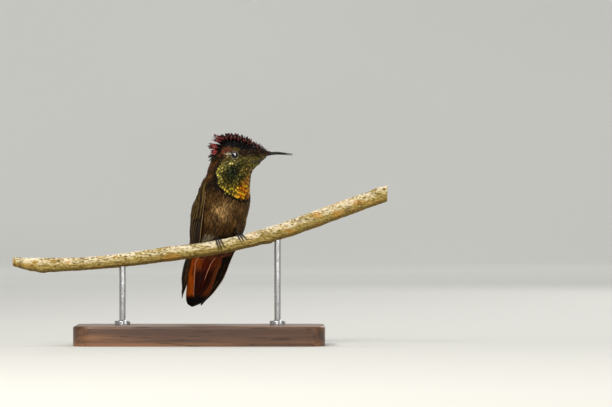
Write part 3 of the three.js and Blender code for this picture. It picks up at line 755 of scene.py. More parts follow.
def hide_finish():
    """Bare skin in the plumage's own colours, darkened as painted shade between the feathers, with a fine
    pebbled surface.
    """
    made = Finish("hide", Roughness=0.75)
    place = made.place()
    pebble = place.spots(2600)
    made.colour((pebble.rise(0.1, 0.6) * 0.25 + 0.1).blend(made.mark("marking", "Color"), tone(24, 18, 14)))
    made.relief(1 - pebble, 0.00008, 0.8)
    return made


# The skin is darker than its feathers: painted shade in the gaps between them.
HIDE_SHADE = 0.55  # the skin's colour as a share of its feathers'
places = points_of(hide) / MM
shades = plumage(places) * HIDE_SHADE
ring = np.zeros(len(places))
for centre, way in EYES.values():
    off = places - (centre + way * LID["proud"] / MM)
    out = np.hypot(off[:, 0], off[:, 2])
    ring = np.maximum(ring, fade(out, 1.75, 1.5) * fade(np.abs(off[:, 1]), 0.9, 0.6))
shades += ring[:, None] * (DYE["eye_ring"] - shades)
mark_points(hide, "marking", "FLOAT_COLOR", np.column_stack([shades, np.ones(len(shades))]))
settle("hide", hide_finish(), 60)
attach(hide, "root")
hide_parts(*FLESH, *ARMS)

# ---------------------------------------------------------------------------------------------------
# The eyes: glass balls, set deep behind the lids, near-black with a dark brown iris round the pupil and a
# clear, wet cornea that bulges a little.
# ---------------------------------------------------------------------------------------------------
CORNEA = {"proud": 0.042, "wide": 0.62}  # its height and its width as shares of the ball
# The painted lights: how far ahead and up of the eye's middle each is, and half its width and height.
GLINTS = [(0.12, 0.32, 0.2, 0.55), (-0.5, 0.62, 0.14, 0.14)]


def eye_finish(centre):
    """Brown-black glass: a pupil and a dark iris, ringed round the way the eye looks, with two painted
    highlights.
    """
    made = Finish("eye_glass", Roughness=0.05, Specular_IOR_Level=0.3)
    off = made.start.node("VectorMath", {"operation": "SUBTRACT"}, {0: made.place(), 1: tuple(centre * MM)})
    reach = (off.axis("X") * off.axis("X") + off.axis("Z") * off.axis("Z")) ** 0.5
    iris = reach.rise(0.00072, 0.00080) * reach.rise(0.00120, 0.00108)
    glint = 0.0
    for ahead, up, wide, tall in GLINTS:
        across = (off.axis("X") - ahead * MM) * (1 / (wide * MM))
        high = (off.axis("Z") - up * MM) * (1 / (tall * MM))
        glint = (across * across + high * high).rise(1.3, 0.7) * 0.9 + glint
    dark = (iris * (0.2 + off.noise(2400, 3.0) * 0.6)).blend(tone(2, 2, 2), tone(26, 15, 9))
    made.colour(glint.blend(dark, tone(244, 246, 246)))
    return made


for side, (centre, way) in EYES.items():
    low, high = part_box("eye_" + side)
    ball = (high.x - low.x) / 2
    let_go()
    place = Vector(centre * MM)
    bpy.ops.mesh.primitive_uv_sphere_add(segments=64, ring_count=32, radius=ball, location=place)
    bpy.ops.object.transform_apply(location=True)
    eye = bpy.context.object
    off = points_of(eye) / MM - centre
    facing = unit(off) @ unit(way)
    bulge = CORNEA["proud"] * fade(facing, 1 - CORNEA["wide"] / 2, 1.0)
    move_points(eye, (centre + off * (1 + bulge[:, None])) * MM)
    settle("eyeball_" + side, eye_finish(centre), 80)
    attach(eye, "root")
    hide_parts("eye_" + side)

# ---------------------------------------------------------------------------------------------------
# The bill: two slender, faintly down-curved horn sheaths that meet along the cutting edge, the lower inside
# the upper. Blackish, with a painted grey highlight along the ridge.
# ---------------------------------------------------------------------------------------------------
HORN_GRAIN = 0.085 * MM
# The bill's root: how much fuller and lower it is made than the frame's, and between which places ahead.
BILL_ROOT = {"fuller": 0.13, "full": (36, 31), "lower": 0.55, "low": (31, 25.5)}


def horn_finish(name, dark, highlight, wear):
    """Dark horn with fine lengthwise growth lines and a painted highlight, paler where it faces up."""
    made = Finish(name, Roughness=0.4, Specular_IOR_Level=0.25, Coat_Weight=0.08, Coat_Roughness=0.3)
    place = made.place()
    lines = place.scaled(140, 2600, 2600).noise(1.0, 3.0, 0.6)
    # The painted highlight falls where the horn faces up, in soft patches.
    ridge = made.facing().axis("Z").rise(0.35, 0.95) * place.noise(900, 2.0).rise(0.3, 0.6)
    made.colour((ridge * wear).blend((lines * 0.6).blend(dark, tone(34, 33, 24)), highlight))
    made.vary("Roughness", 0.34 + lines * 0.25)
    made.relief(lines, 0.00003, 0.5)
    return made


def refine(name, nodes, grain, rounds):
    """A smooth, fine copy of frame nodes, for small hard parts."""
    let_go()
    made = clone(name, nodes)
    add_modifier(made, "REMESH", mode="VOXEL", voxel_size=grain, use_smooth_shade=True)
    add_modifier(made, "SMOOTH", factor=0.5, iterations=rounds)
    return made


# The bill's painted highlight on top: its colour and how strong it is.
bill_horn = horn_finish("bill_horn", dark=tone(11, 12, 8), highlight=tone(70, 74, 54), wear=0.35)
for half in ("upper", "lower"):
    sheath = refine("sheath_" + half, ["bill_" + half], HORN_GRAIN, 3)
    places = points_of(sheath) / MM
    places += normals_of(sheath) * (BILL_ROOT["fuller"] * fade(places[:, 0], *BILL_ROOT["full"]))[:, None]
    places[:, 2] -= BILL_ROOT["lower"] * fade(places[:, 0], *BILL_ROOT["low"])
    move_points(sheath, places * MM)
    settle("bill_sheath_" + half, bill_horn, 60)
    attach(sheath, "root")
    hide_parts("bill_" + half)

# ---------------------------------------------------------------------------------------------------
# The feet: short dark legs and four scaled toes each, wrapped over the twig, three in front and one
# behind, every toe with its own hooked claw.
# ---------------------------------------------------------------------------------------------------
TOE_NAMES = ("outer", "middle", "inner", "hind")
TOE_GRAIN = 0.075 * MM
CLAW_GRAIN = TOE_GRAIN * 0.6
SCUTES = {"each": 0.42, "high": 0.035}  # the length and height of a scale across a toe, in millimetres


def foot_finish():
    """Blackish scaly skin with a violet-grey bloom and darker joints between the scales."""
    made = Finish("foot_scales", Roughness=0.5, Coat_Weight=0.15, Coat_Roughness=0.3)
    place = made.place()
    bloom = place.noise(1300, 3.0)
    groove = made.mark("groove", "Fac")
    skin = bloom.rise(0.3, 0.7).blend(tone(38, 33, 34), tone(70, 62, 66))
    made.colour((groove * 0.8).blend(skin, tone(14, 12, 12)))
    made.relief(place.spots(5200) * -0.5 + bloom * 0.3, 0.00003, 0.6)
    return made


def round_twig(places):
    """How far each place is along a toe's wrap: its angle round the twig's middle line."""
    line = np.interp(places[:, 0], twig_along, twig_height)
    return np.arctan2(places[:, 2] - line, -places[:, 1])


foot_skin = foot_finish()
# The claws' painted highlight on top: its colour and how strong it is.
claw_horn = horn_finish("claw_horn", dark=tone(16, 14, 13), highlight=tone(84, 78, 72), wear=0.4)
for side in ("right", "left"):
    toes = [f"toe_{side}_{toe}" for toe in TOE_NAMES]
    foot = refine("foot_" + side, ["tarsus_" + side, *toes], TOE_GRAIN, 4)
    places = points_of(foot) / MM
    wrap = round_twig(places) * RADIUS["bark"] / SCUTES["each"]
    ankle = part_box("tarsus_" + side)[0].z / MM
    shank = fade(places[:, 2], ankle, ankle + 1.0)
    step = np.abs(np.sin(math.pi * np.where(shank > 0.5, places[:, 2] / SCUTES["each"], wrap)))
    relief = (step**0.5 - 0.8) * SCUTES["high"] * MM
    move_points(foot, places * MM + normals_of(foot) * relief[:, None])
    mark_points(foot, "groove", "FLOAT", fade(step, 0.35, 0.05))
    settle("foot_scaled_" + side, foot_skin, 60)
    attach(foot, "root")
    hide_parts("tarsus_" + side, *toes)
    for toe in TOE_NAMES:
        claw = refine("hook", [f"claw_{side}_{toe}"], CLAW_GRAIN, 3)
        settle(f"hook_{side}_{toe}", claw_horn, 60)
        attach(claw, "root")
        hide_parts(f"claw_{side}_{toe}")

# ---------------------------------------------------------------------------------------------------
# The coat: small feathers rooted in the hide, in overlapping rows that run from the bill back over the head
# and down the body to the tail. Each is a thin closed vane with its own curve, camber and frayed tip.
# ---------------------------------------------------------------------------------------------------
# The width of a feather at shares of its length, as shares of its greatest width, for each kind of feather.
SHAPES = {
    "scale": {
        "outline": [(0, 0.45), (0.25, 0.86), (0.6, 1.0), (0.85, 0.84), (1, 0.5)],
        "round": 0.24, "fray": 0.03,
    },
    "soft": {
        "outline": [(0, 0.4), (0.4, 1.0), (0.75, 0.8), (1, 0.2)],
        "round": 0.1, "fray": 0.14, "columns": 4, "camber": 0.1,
    },
    "throat": {
        "outline": [(0, 0.5), (0.4, 1.0), (0.75, 0.85), (1, 0.35)],
        "round": 0.14, "fray": 0.06, "columns": 4,
    },
    "blade": {
        "outline": [(0, 0.5), (0.3, 0.95), (0.6, 1.0), (0.85, 0.62), (1, 0.16)],
        "round": 0.1, "fray": 0.02,
    },
    "spike": {
        "outline": [(0, 0.55), (0.3, 0.95), (0.55, 0.9), (0.8, 0.5), (1, 0.08)],
        "round": 0.0, "fray": 0.0,
    },
    "down": {"outline": [(0, 0.6), (0.5, 1.0), (1, 0.3)], "round": 0.1, "fray": 0.2},
}
VANE = {"rows": 6, "columns": 6, "thick": 0.035, "camber": 0.16}
HEAD_MIDDLE = 2.4  # how far back the head's middle plane lies, in millimetres
CLEAR = {"root": 1.85, "vane": 1.75}  # how far from an eye's middle a feather may be rooted, and may lie
CELL = 2.0  # the size of the boxes that places are sorted into, wider than any gap kept between two of them
# The flat map: the width of a feather's place on it, the share of its width that goes round the body, the
# body's foot and height and the share they take up, and the height above which the crown has its own cap.
FLAT = {"patch": 0.003, "round": 0.96, "foot": 15, "tall": 70, "up": 0.72, "crown": 80, "cap": 28}

hide_points = points_of(hide) / MM
hide_normals = normals_of(hide)


def tree_of(mesh, points):
    """A mesh's faces, sorted for finding the nearest place on them."""
    faces = [tuple(face.vertices) for face in mesh.polygons]
    return BVHTree.FromPolygons([Vector(point) for point in points], faces)


hide_tree = tree_of(hide.data, hide_points)
flesh_trees = {}
for node in FLESH + ARMS:
    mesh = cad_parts[node].data
    flesh_trees[node] = tree_of(mesh, [vertex.co / MM for vertex in mesh.vertices])


def sown(count, seed):
    """Many places spread evenly at random over the hide, with its normals there."""
    chance = np.random.default_rng(seed)
    corners = np.array([face.vertices[:] for face in hide.data.polygons])
    corners = np.vstack([corners[:, [0, 1, 2]], corners[:, [0, 2, 3]]])
    first, second, third = (hide_points[corners[:, number]] for number in range(3))
    area = np.linalg.norm(np.cross(second - first, third - first), axis=1)
    picked = chance.choice(len(corners), count, p=area / area.sum())
    shares = chance.random((count, 2))
    over = shares.sum(axis=1) > 1
    shares[over] = 1 - shares[over]
    shares = (1 - shares.sum(axis=1), shares[:, 0], shares[:, 1])

    def between_corners(values):
        return sum(share[:, None] * values[corners[picked, number]] for number, share in enumerate(shares))

    return between_corners(hide_points), unit(between_corners(hide_normals))


seeds, seed_normals = sown(60000, 7)
owner = []  # the node of flesh that each seed lies nearest to
for spot in seeds:
    gaps = [flesh_trees[node].find_nearest(Vector(spot))[3] for node in FLESH + ARMS]
    owner.append((FLESH + ARMS)[int(np.argmin(gaps))])
owner = np.array(owner)
seed_round = round_bird(seeds)


def spaced(allowed, apart):
    """Of the allowed places, as many as fit with each at least its distance apart from the others."""
    cells = {}
    kept = []
    for number in np.flatnonzero(allowed):
        spot = seeds[number]
        cell = tuple(int(part) for part in spot // CELL)
        near = []
        for beside in itertools.product(*[range(part - 1, part + 2) for part in cell]):
            near += cells.get(beside, [])
        if not near or np.min(np.linalg.norm(seeds[near] - spot, axis=1)) >= apart[number]:
            cells.setdefault(cell, []).append(number)
            kept.append(number)
    return np.array(kept)


BILL_START = np.array([27.5, HEAD_MIDDLE, 76.6])  # the place that the coat of the head spreads from


def level_with(ways, ups):
    """Ways laid flat on the surface whose normals are given."""
    return unit(ways - ups * np.sum(ways * ups, axis=1, keepdims=True))


def lie(places, normals):
    """The way that the coat lies at each place: away from the bill on the head, and down the body's line."""
    from_bill = unit(places - BILL_START)
    from_bill[:, 2] -= 0.25 * fade(places[:, 2], 79, 74)
    heights = places[:, 2]
    down = unit(middle_at(heights - 1.0) - middle_at(heights + 1.0))
    on_head = fade(heights, 66, 75)[:, None]
    return level_with(unit(from_bill) * on_head + down * (1 - on_head), normals)


def flattened(places):
    """Where each place is on the hide laid flat: unrolled round the body, with the crown as a round cap."""
    turn = np.radians(round_bird(places))
    across = 0.5 + turn / (2 * math.pi) * FLAT["round"]
    up = 0.04 + (places[:, 2] - FLAT["foot"]) / FLAT["tall"] * FLAT["up"]
    on_cap = places[:, 2] > FLAT["crown"]
    across = np.where(on_cap, 0.5 + (places[:, 0] - 13) / FLAT["cap"], across)
    up = np.where(on_cap, 0.9 + (places[:, 1] - HEAD_MIDDLE) / FLAT["cap"] * 0.5, up)
    return np.column_stack([across, up])


def quads_of(grid):
    """The corners of the faces between a grid of numbered points."""
    return np.stack([grid[:-1, :-1], grid[:-1, 1:], grid[1:, 1:], grid[1:, :-1]], axis=-1).reshape(-1, 4)


def vane_faces(rows, columns):
    """The corners of one vane's faces: its upper side, then its under side, joined round the edge."""
    upper = np.arange((rows + 1) * (columns + 1)).reshape(rows + 1, columns + 1)
    inside = np.arange((rows - 1) * (columns - 1)).reshape(rows - 1, columns - 1) + upper.size
    under = upper.copy()
    under[1:-1, 1:-1] = inside
    return np.vstack([quads_of(upper), quads_of(under)[:, ::-1]]), upper.size + inside.size


def curve(root, root_way, tip, tip_way, length, share):
    """A smooth curve from a root to a tip: its places, and its ways there, at shares of its length."""
    places = (
        (2 * share**3 - 3 * share**2 + 1) * root
        + (share**3 - 2 * share**2 + share) * length * root_way
        + (3 * share**2 - 2 * share**3) * tip
        + (share**3 - share**2) * length * tip_way
    )
    ways = (
        (6 * share**2 - 6 * share) * (root - tip) / length
        + (3 * share**2 - 4 * share + 1) * root_way
        + (3 * share**2 - 2 * share) * tip_way
    )
    return places, unit(ways)


def feathers(name, finish, shape, root, tip, root_way, tip_way, root_up, tip_up, wide, dye):
    """Joins many feathers into one piece. Each runs on a smooth curve from its root to its tip."""
    look = {**VANE, **SHAPES[shape]}
    rows, columns = look["rows"], look["columns"]
    chance = np.random.default_rng(len(root) + columns)
    count = len(root)
    faces, size = vane_faces(rows, columns)
    along = np.linspace(0, 1, rows + 1)
    across = np.linspace(-1, 1, columns + 1)
    ragged = chance.random((count, columns + 1)) * look["fray"] * 2 - look["fray"]
    reach = 1 - look["round"] * across**2 + ragged
    share = along[None, :, None] * np.where(along[None, :, None] > 0.45, reach[:, None, :], 1.0)
    share = np.clip(share, 0, 1.1)
    length = np.linalg.norm(tip - root, axis=1)[:, None, None, None]
    ends = [part[:, None, None, :] for part in (root, root_way, tip, tip_way)]
    line, ahead = curve(*ends, length, share[..., None])
    up = root_up[:, None, None, :] * (1 - share[..., None]) + tip_up[:, None, None, :] * share[..., None]
    beside = unit(np.cross(ahead, up))
    up = np.cross(beside, ahead)
    half = np.interp(share, *zip(*look["outline"])) * wide[:, None, None] / 2
    arch = look["camber"] * wide[:, None, None] * (1 - across**2) * (0.3 + 0.7 * share)
    upper = line + beside * (half * across)[..., None] + up * arch[..., None]
    thin = look["thick"] * (1 - 0.5 * share[:, 1:-1, 1:-1])
    under = upper[:, 1:-1, 1:-1] - up[:, 1:-1, 1:-1] * thin[..., None]
    points = np.concatenate([upper.reshape(count, -1, 3), under.reshape(count, -1, 3)], axis=1)

    def over_points(values):
        values = np.broadcast_to(values, share.shape)
        return np.concatenate([values.reshape(count, -1), values[:, 1:-1, 1:-1].reshape(count, -1)], axis=1)

    marks = (share, across, chance.random(count)[:, None, None])
    marks = np.stack([over_points(values) for values in marks], axis=-1)
    corners = (faces[None] + (np.arange(count) * size)[:, None, None]).reshape(-1, 4)
    piece = mesh_piece(name, points.reshape(-1, 3) * MM, corners)
    mark_points(piece, "vane", "FLOAT_VECTOR", marks)
    paint = np.repeat(np.column_stack([dye, np.ones(count)])[:, None, :], size, axis=1)
    mark_points(piece, "dye", "FLOAT_COLOR", paint)
    spread = np.stack([marks[..., 1] / 2, marks[..., 0] - 0.5], axis=-1)
    flat = flattened(root)[:, None, :] + FLAT["patch"] * spread
    flat_map(piece, flat.reshape(-1, 2))
    finish.wear(piece)
    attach(piece, "root")
    return piece


def mesh_piece(name, points, corners):
    """A new smooth-shaded piece from points in metres and its faces' corners."""
    mesh = bpy.data.meshes.new(name)
    mesh.vertices.add(len(points))
    mesh.vertices.foreach_set("co", np.ascontiguousarray(points, dtype=np.float32).ravel())
    mesh.loops.add(corners.size)
    mesh.loops.foreach_set("vertex_index", corners.ravel().astype(np.int32))
    mesh.polygons.add(len(corners))
    mesh.polygons.foreach_set("loop_start", (np.arange(len(corners)) * corners.shape[1]).astype(np.int32))
    mesh.polygons.foreach_set("loop_total", np.full(len(corners), corners.shape[1], dtype=np.int32))
    mesh.update(calc_edges=True)
    mesh.validate()
    mesh.polygons.foreach_set("use_smooth", np.ones(len(mesh.polygons), dtype=bool))
    piece = bpy.data.objects.new(name, mesh)
    bpy.context.collection.objects.link(piece)
    return piece


def flat_map(piece, flat):
    """Gives the piece its flat map, point by point."""
    layer = piece.data.uv_layers.new(name="OFBake")
    order = np.empty(len(piece.data.loops), dtype=np.int32)
    piece.data.loops.foreach_get("vertex_index", order)
    layer.data.foreach_set("uv", np.ascontiguousarray(flat[order], dtype=np.float32).ravel())


def vane_marks(made):
    """A feather's marks for its finish: all of them, then along it, across it, and its own chance number."""
    vane = made.mark("vane")
    return vane, vane.axis("X"), vane.axis("Y"), vane.axis("Z")


def feather_finish(name, metal, rough, barb, deep, tip_highlight, streaked=0.0):
    """A feather: its own dye with fine slanting barbs, painted shade towards the root and a painted highlight
    at the tip.
    """
    made = Finish(name, Metallic=metal, Specular_IOR_Level=0.12)
    vane, along, across, chance = vane_marks(made)
    dye = made.mark("dye", "Color")
    slant = (along * 46 - across.size() * 9 + chance * 6).sine()
    shaft = across.size().rise(0.16, 0.02)
    streaks = vane.scaled(1.2, 4.5, 40).noise(2.0, 3.0, 0.6)
    # Darker towards the root by the share deep: painted shade under the feathers above.
    colour = (along.rise(0.82, 0.3) * deep).blend(dye, tone(12, 9, 6))
    dark = slant.rise(-0.2, 1.0) * barb + streaks.rise(0.45, 0.75) * streaked
    colour = dark.blend(colour, tone(16, 11, 6))
    # The tip lighter, a screen of the dye with itself: a painted highlight.
    screen = {"data_type": "RGBA", "blend_type": "SCREEN"}
    lighter = made.start.node("Mix", screen, {0: 1.0, 6: dye, 7: dye}, 2)
    made.colour((along.rise(0.78, 0.98) * tip_highlight).blend(colour, lighter))
    made.vary("Roughness", rough + chance * 0.15 + slant * 0.04)
    made.relief(slant * 0.5 + shaft + streaks * streaked * 2, 0.00004, 0.7)
    return made


LIGHTEST = 1.6  # how many times lighter than its kind a single feather may be


def varied(dye, chance, light, spread):
    """Each feather's dye, made lighter or darker than its neighbours'."""
    factor = light * np.minimum(np.exp(spread * chance.standard_normal(len(dye))), LIGHTEST)
    return np.clip(dye * factor[:, None], 0.002, 1.0)


def for_seeds(values):
    """One number for each seed, from such a list or from one number for all of them."""
    return np.broadcast_to(np.asarray(values, float), len(seeds))


def coat(name, finish, shape, allowed, apart, long, wide, lift, spread, seed, light=1.0, stray=0.0):
    """One region of the coat: feathers of one kind, rooted where they are allowed, lying with the coat.

    Their distance apart, length, width and lift off the hide are in millimetres. Light brightens them all,
    spread makes them uneven, and stray is how far from its own place a feather may take its colour.
    """
    chance = np.random.default_rng(seed)
    kept = spaced(allowed, for_seeds(apart))
    kept = kept[np.argsort(seeds[kept, 2])]
    root, root_up = seeds[kept], seed_normals[kept]
    length = for_seeds(long)[kept] * chance.uniform(0.88, 1.12, len(kept))
    for centre, way in EYES.values():
        ahead = lie(root, root_up)
        for share in (0.35, 0.7, 1.0):
            over = np.linalg.norm(root + ahead * (length * share)[:, None] - centre, axis=1) < CLEAR["vane"]
            length = np.where(over, np.maximum(length * 0.5, 0.4), length)
    way = level_with(unit(lie(root, root_up) + 0.10 * chance.standard_normal((len(kept), 3))), root_up)
    aim = root + way * length[:, None]
    tip, tip_up = [], []
    for place in aim:
        spot, normal, _, _ = hide_tree.find_nearest(Vector(place))
        tip.append(spot)
        tip_up.append(normal)
    tip_up = unit(np.array(tip_up))
    raised = for_seeds(lift)[kept] * chance.uniform(0.8, 1.25, len(kept))
    tip = np.array(tip) + tip_up * raised[:, None]
    tip_way = unit(lie(tip, tip_up) - tip_up * 0.05)
    root_way = unit(way + root_up * (2.2 * raised / length)[:, None])
    breadth = for_seeds(wide)[kept] * chance.uniform(0.9, 1.1, len(kept))
    looked = root + way * length[:, None] * 0.6 + chance.standard_normal((len(kept), 3)) * stray
    dye = varied(plumage(looked), chance, light, spread)
    root = root - root_up * 0.06
    piece = feathers(name, finish, shape, root, tip, root_way, tip_way, root_up, tip_up, breadth, dye)


# Where the kinds of feathers meet: the gorget's sides in degrees and the heights of its chin and top, the
# breast's sides, its foot and the belly's top, and the crown's lower edge from the nape forwards.
GORGET = {"side": 109, "chin": 73.2, "top": 77.3}
BREAST = {"side": 118, "foot": 43, "belly": 43.5}
CROWN = ([6.5, 9.0, 12.8, 16.0, 20.0, 27.0], [79.4, 80.8, 81.4, 80.8, 79.6, 77.2])

edge_of_gorget = np.interp(np.abs(seed_round), *GORGET_EDGE)
on_wing = np.char.startswith(owner, "wing")
on_head = owner == "head"
on_trunk = owner == "trunk"
on_gorget = (seeds[:, 2] > edge_of_gorget) & (np.abs(seed_round) < GORGET["side"])
on_gorget &= (seeds[:, 2] < GORGET["top"]) & ~on_wing
eye_gap = np.min([np.linalg.norm(seeds - centre, axis=1) for centre, way in EYES.values()], axis=0)
clear = eye_gap > CLEAR["root"]
crown = (seeds[:, 2] > np.interp(seeds[:, 0], *CROWN)) & on_head & (seeds[:, 0] > CROWN[0][0])
below = ~on_gorget & ~on_head & ~on_wing
front = np.abs(seed_round) < BREAST["side"]
face = fade(seeds[:, 2], 70, 74)
tight = fade(eye_gap, 3.2, 2.0)

# Each finish is given painted shade towards the feather's root and a painted highlight at its tip.
gorget_feather = feather_finish("gorget_feather", metal=0.6, rough=0.3, barb=0.3, deep=0.7, tip_highlight=0.6)
face_feather = feather_finish("face_feather", metal=0.3, rough=0.45, barb=0.35, deep=0.6, tip_highlight=0.5)
soft_feather = feather_finish(
    "soft_feather", metal=0.1, rough=0.6, barb=0.12, deep=0.0, tip_highlight=0.1, streaked=0.35
)
back_feather = feather_finish(
    "back_feather", metal=0.35, rough=0.42, barb=0.3, deep=0.5, tip_highlight=0.5, streaked=0.2
)

coat(
    "coat_gorget", gorget_feather, "scale", on_gorget & clear & (seeds[:, 2] < GORGET["chin"]),
    apart=0.78 - face * 0.08, long=1.9 - face * 0.4, wide=1.2 - face * 0.2, lift=0.3,
    light=1.12, spread=0.24, seed=21, stray=0.15,
)
coat(
    "coat_face", face_feather, "throat",
    on_head & clear & ~crown & (seeds[:, 2] >= GORGET["chin"]) & on_gorget,
    apart=0.6 - 0.18 * tight, long=1.5 - 0.7 * tight, wide=0.8 - 0.3 * tight, lift=0.2 - 0.1 * tight,
    light=1.1, spread=0.48, seed=22, stray=0.3,
)
coat(
    "coat_brow", face_feather, "scale", on_head & clear & ~crown & ~on_gorget,
    apart=0.6 - 0.18 * tight, long=1.3 - 0.6 * tight, wide=0.85 - 0.3 * tight, lift=0.2 - 0.1 * tight,
    spread=0.3, seed=23,
)
coat(
    "coat_nape", soft_feather, "soft", below & (owner == "neck"),
    apart=0.8, long=2.7, wide=1.2, lift=0.5, spread=0.25, seed=24,
)
coat(
    "coat_breast", soft_feather, "soft", below & on_trunk & front & (seeds[:, 2] > BREAST["foot"]),
    apart=0.75, long=3.4, wide=1.15, lift=0.42, spread=0.16, seed=25,
)
coat(
    "coat_back", back_feather, "scale", below & on_trunk & ~front,
    apart=1.2, long=2.9, wide=1.9, lift=0.4, spread=0.25, seed=26,
)
coat(
    "coat_belly", soft_feather, "down",
    below & (on_trunk & front & (seeds[:, 2] <= BREAST["belly"]) | np.char.startswith(owner, "thigh")),
    apart=0.85, long=2.5, wide=1.3, lift=0.5, spread=0.2, seed=27,
)
coat(
    "coat_tail_coverts", soft_feather, "soft", owner == "tail_coverts",
    apart=1.0, long=np.interp(seeds[:, 2], [32, 38], [1.5, 3.6]), wide=1.7, lift=0.3, spread=0.2, seed=28,
)

# Short feathers that run out along the base of the bill, furthest on its ridge: where their rows start, where
# the head ends, where the rows end above and below, the steps between them, and the bill's line and radius.
BASE = {
    "from": 25.4, "head": 25.8, "ends": (28.8, 27.2), "each": 0.3, "turn": 24,
    "long": 1.3, "wide": 0.75, "line": (1.67, 76.45), "radius": 0.72, "seed": 30,
}
BASE_TOP = dye_of((60, 32, 24))
chance = np.random.default_rng(BASE["seed"])


def bill_axis(ahead):
    return np.array([ahead, *BASE["line"]])


def bill_cover(ahead, way, end):
    """A place on the feathering round the base of the bill, which narrows from the head to the bill."""
    reach = hide_tree.ray_cast(Vector(bill_axis(min(ahead, BASE["head"]))), Vector(way))[3]
    left = np.clip((end - ahead) / (end - BASE["head"]), 0, 1) ** (0.9 - 0.3 * way[2])
    return bill_axis(ahead) + way * (BASE["radius"] + (reach - BASE["radius"]) * left)


roots, tips, ups, dyes = [], [], [], []
for ahead in np.arange(BASE["from"], BASE["ends"][0], BASE["each"]):
    for turn in np.radians(np.arange(-168, 181, BASE["turn"]) + BASE["turn"] * chance.random()):
        way = np.array([0.0, math.sin(turn), math.cos(turn)])
        top = (math.cos(turn) + 1) / 2
        end = BASE["ends"][1] + (BASE["ends"][0] - BASE["ends"][1]) * top
        if ahead < end:
            roots.append(bill_cover(ahead, way, end) - way * 0.05)
            tips.append(bill_cover(ahead - BASE["long"], way, end) + way * (0.12 + 0.2 * top))
            ups.append(way)
            dyes.append(DYE["chin_tan"] + (BASE_TOP - DYE["chin_tan"]) * fade(top, 0.35, 0.7))
root, tip, up, dye = (np.array(part) for part in (roots, tips, ups, dyes))
way = unit(tip - root)
leaning = level_with(up, way)
bill_base = feathers(
    "coat_bill_base", face_feather, "throat", root, tip, way, way, leaning, leaning,
    BASE["wide"] * chance.uniform(0.85, 1.15, len(root)), varied(dye, chance, 1.0, 0.3),
)

# ---------------------------------------------------------------------------------------------------
# The crest: pointed crown feathers, raised so that their black roots and wine-red tips both show. They lie
# low over the bill, stand up on the crown, and hang back from the nape as longer, paler tufts.
# ---------------------------------------------------------------------------------------------------
# Lengths, angles off the head and widths are given over the bill and at the back of the crown.
CREST = {"top": 84.8, "apart": 1.0, "long": (1.6, 3.1), "raise": (30, 72), "wide": (1.2, 2.0), "seed": 31}
CREST_DYES = {
    "root": (7, 5, 4),
    "tip": (58, 12, 12),
    "bright": (124, 50, 46),
    "tuft": (168, 60, 58),
    "wisp": (44, 34, 16),
}
TUFTS = [
    # how far ahead and how high the tuft's root is, the way it points, its feathers' length, how many degrees
    # they fan to each side, how far out from the middle their roots lie, and how many there are
    {"root": (10.6, 81.5), "way": (-1.0, 0.30), "long": 5.8, "fan": 13, "out": (0.6, 3.2), "count": 12},
    {"root": (8.6, 79.4), "way": (-1.0, 0.05), "long": 5.5, "fan": 9, "out": (1.8, 4.2), "count": 11},
    {"root": (8.4, 77.6), "way": (-1.0, -0.20), "long": 4.1, "fan": 10, "out": (2.6, 4.8), "count": 10},
]
WISPS = [
    {"root": (7.6, 75.4), "way": (-0.8, -0.45), "long": 3.3, "fan": 16, "out": (1.2, 4.6), "count": 10},
]
TUFT = {"wide": 1.1, "seed": 32}


def crest_finish(name, dark_from):
    """A crest feather: black at its root, then wine red with a metallic gloss, pale pink edges as a painted
    highlight, and a dark tip.
    """
    made = Finish(name, Metallic=0.4, Specular_IOR_Level=0.2)
    _, along, across, chance = vane_marks(made)
    slant = (along * 30 - across.size() * 8 + chance * 6).sine()
    colour = along.rise(0.3, 0.6).blend(tone(*CREST_DYES["root"]), made.mark("dye", "Color"))
    colour = (slant.rise(-0.2, 1.0) * 0.35).blend(colour, tone(16, 6, 6))
    # Pale pink towards the edges of the outer half: a painted highlight.
    highlight = across.size().rise(0.1, 0.5) * across.size().rise(0.9, 0.6) * along.rise(0.5, 0.7)
    colour = (highlight * 0.3).blend(colour, tone(170, 96, 88))
    made.colour((along.rise(dark_from, dark_from + 0.15) * 0.85).blend(colour, tone(20, 13, 8)))
    made.vary("Roughness", 0.32 + chance * 0.2)
    made.relief(slant * 0.5 + across.size().rise(0.16, 0.02), 0.00004, 0.7)
    return made


def mixed(first, second, share):
    """Dyes between two chips, one for each share."""
    return dye_of(first) * (1 - share[:, None]) + dye_of(second) * share[:, None]


def between(ends, share):
    return ends[0] + (ends[1] - ends[0]) * share


chance = np.random.default_rng(CREST["seed"])
crest_feather = crest_finish("crest_feather", 0.7)
kept = spaced(crown, np.full(len(seeds), CREST["apart"]))
root, root_up = seeds[kept], seed_normals[kept]
back = fade(root[:, 0], 27.5, 16.0)
length = between(CREST["long"], back) * chance.uniform(0.8, 1.08, len(root))
turn = np.radians(between(CREST["raise"], back)) * chance.uniform(0.85, 1.15, len(root))
way = unit(lie(root, root_up) + 0.15 * chance.standard_normal((len(root), 3)))
lean_up = unit(root_up * 0.55 + np.array([0, 0, 0.45]))
start = unit(way * np.cos(turn)[:, None] + lean_up * np.sin(turn)[:, None])
end = unit(way * np.cos(turn * 0.75)[:, None] + lean_up * np.sin(turn * 0.75)[:, None])
tip = root + unit(start + end) * length[:, None]
tip[:, 2] = np.minimum(tip[:, 2], CREST["top"])
leaning = level_with(root_up, start)
dye = mixed(CREST_DYES["tip"], CREST_DYES["bright"], chance.random(len(root)) ** 3 * 0.9)
crest = feathers(
    "crest_crown", crest_feather, "blade", root - root_up * 0.1, tip, start, end, leaning, leaning,
    between(CREST["wide"], back) * chance.uniform(0.85, 1.1, len(root)), dye,
)
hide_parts("crest")


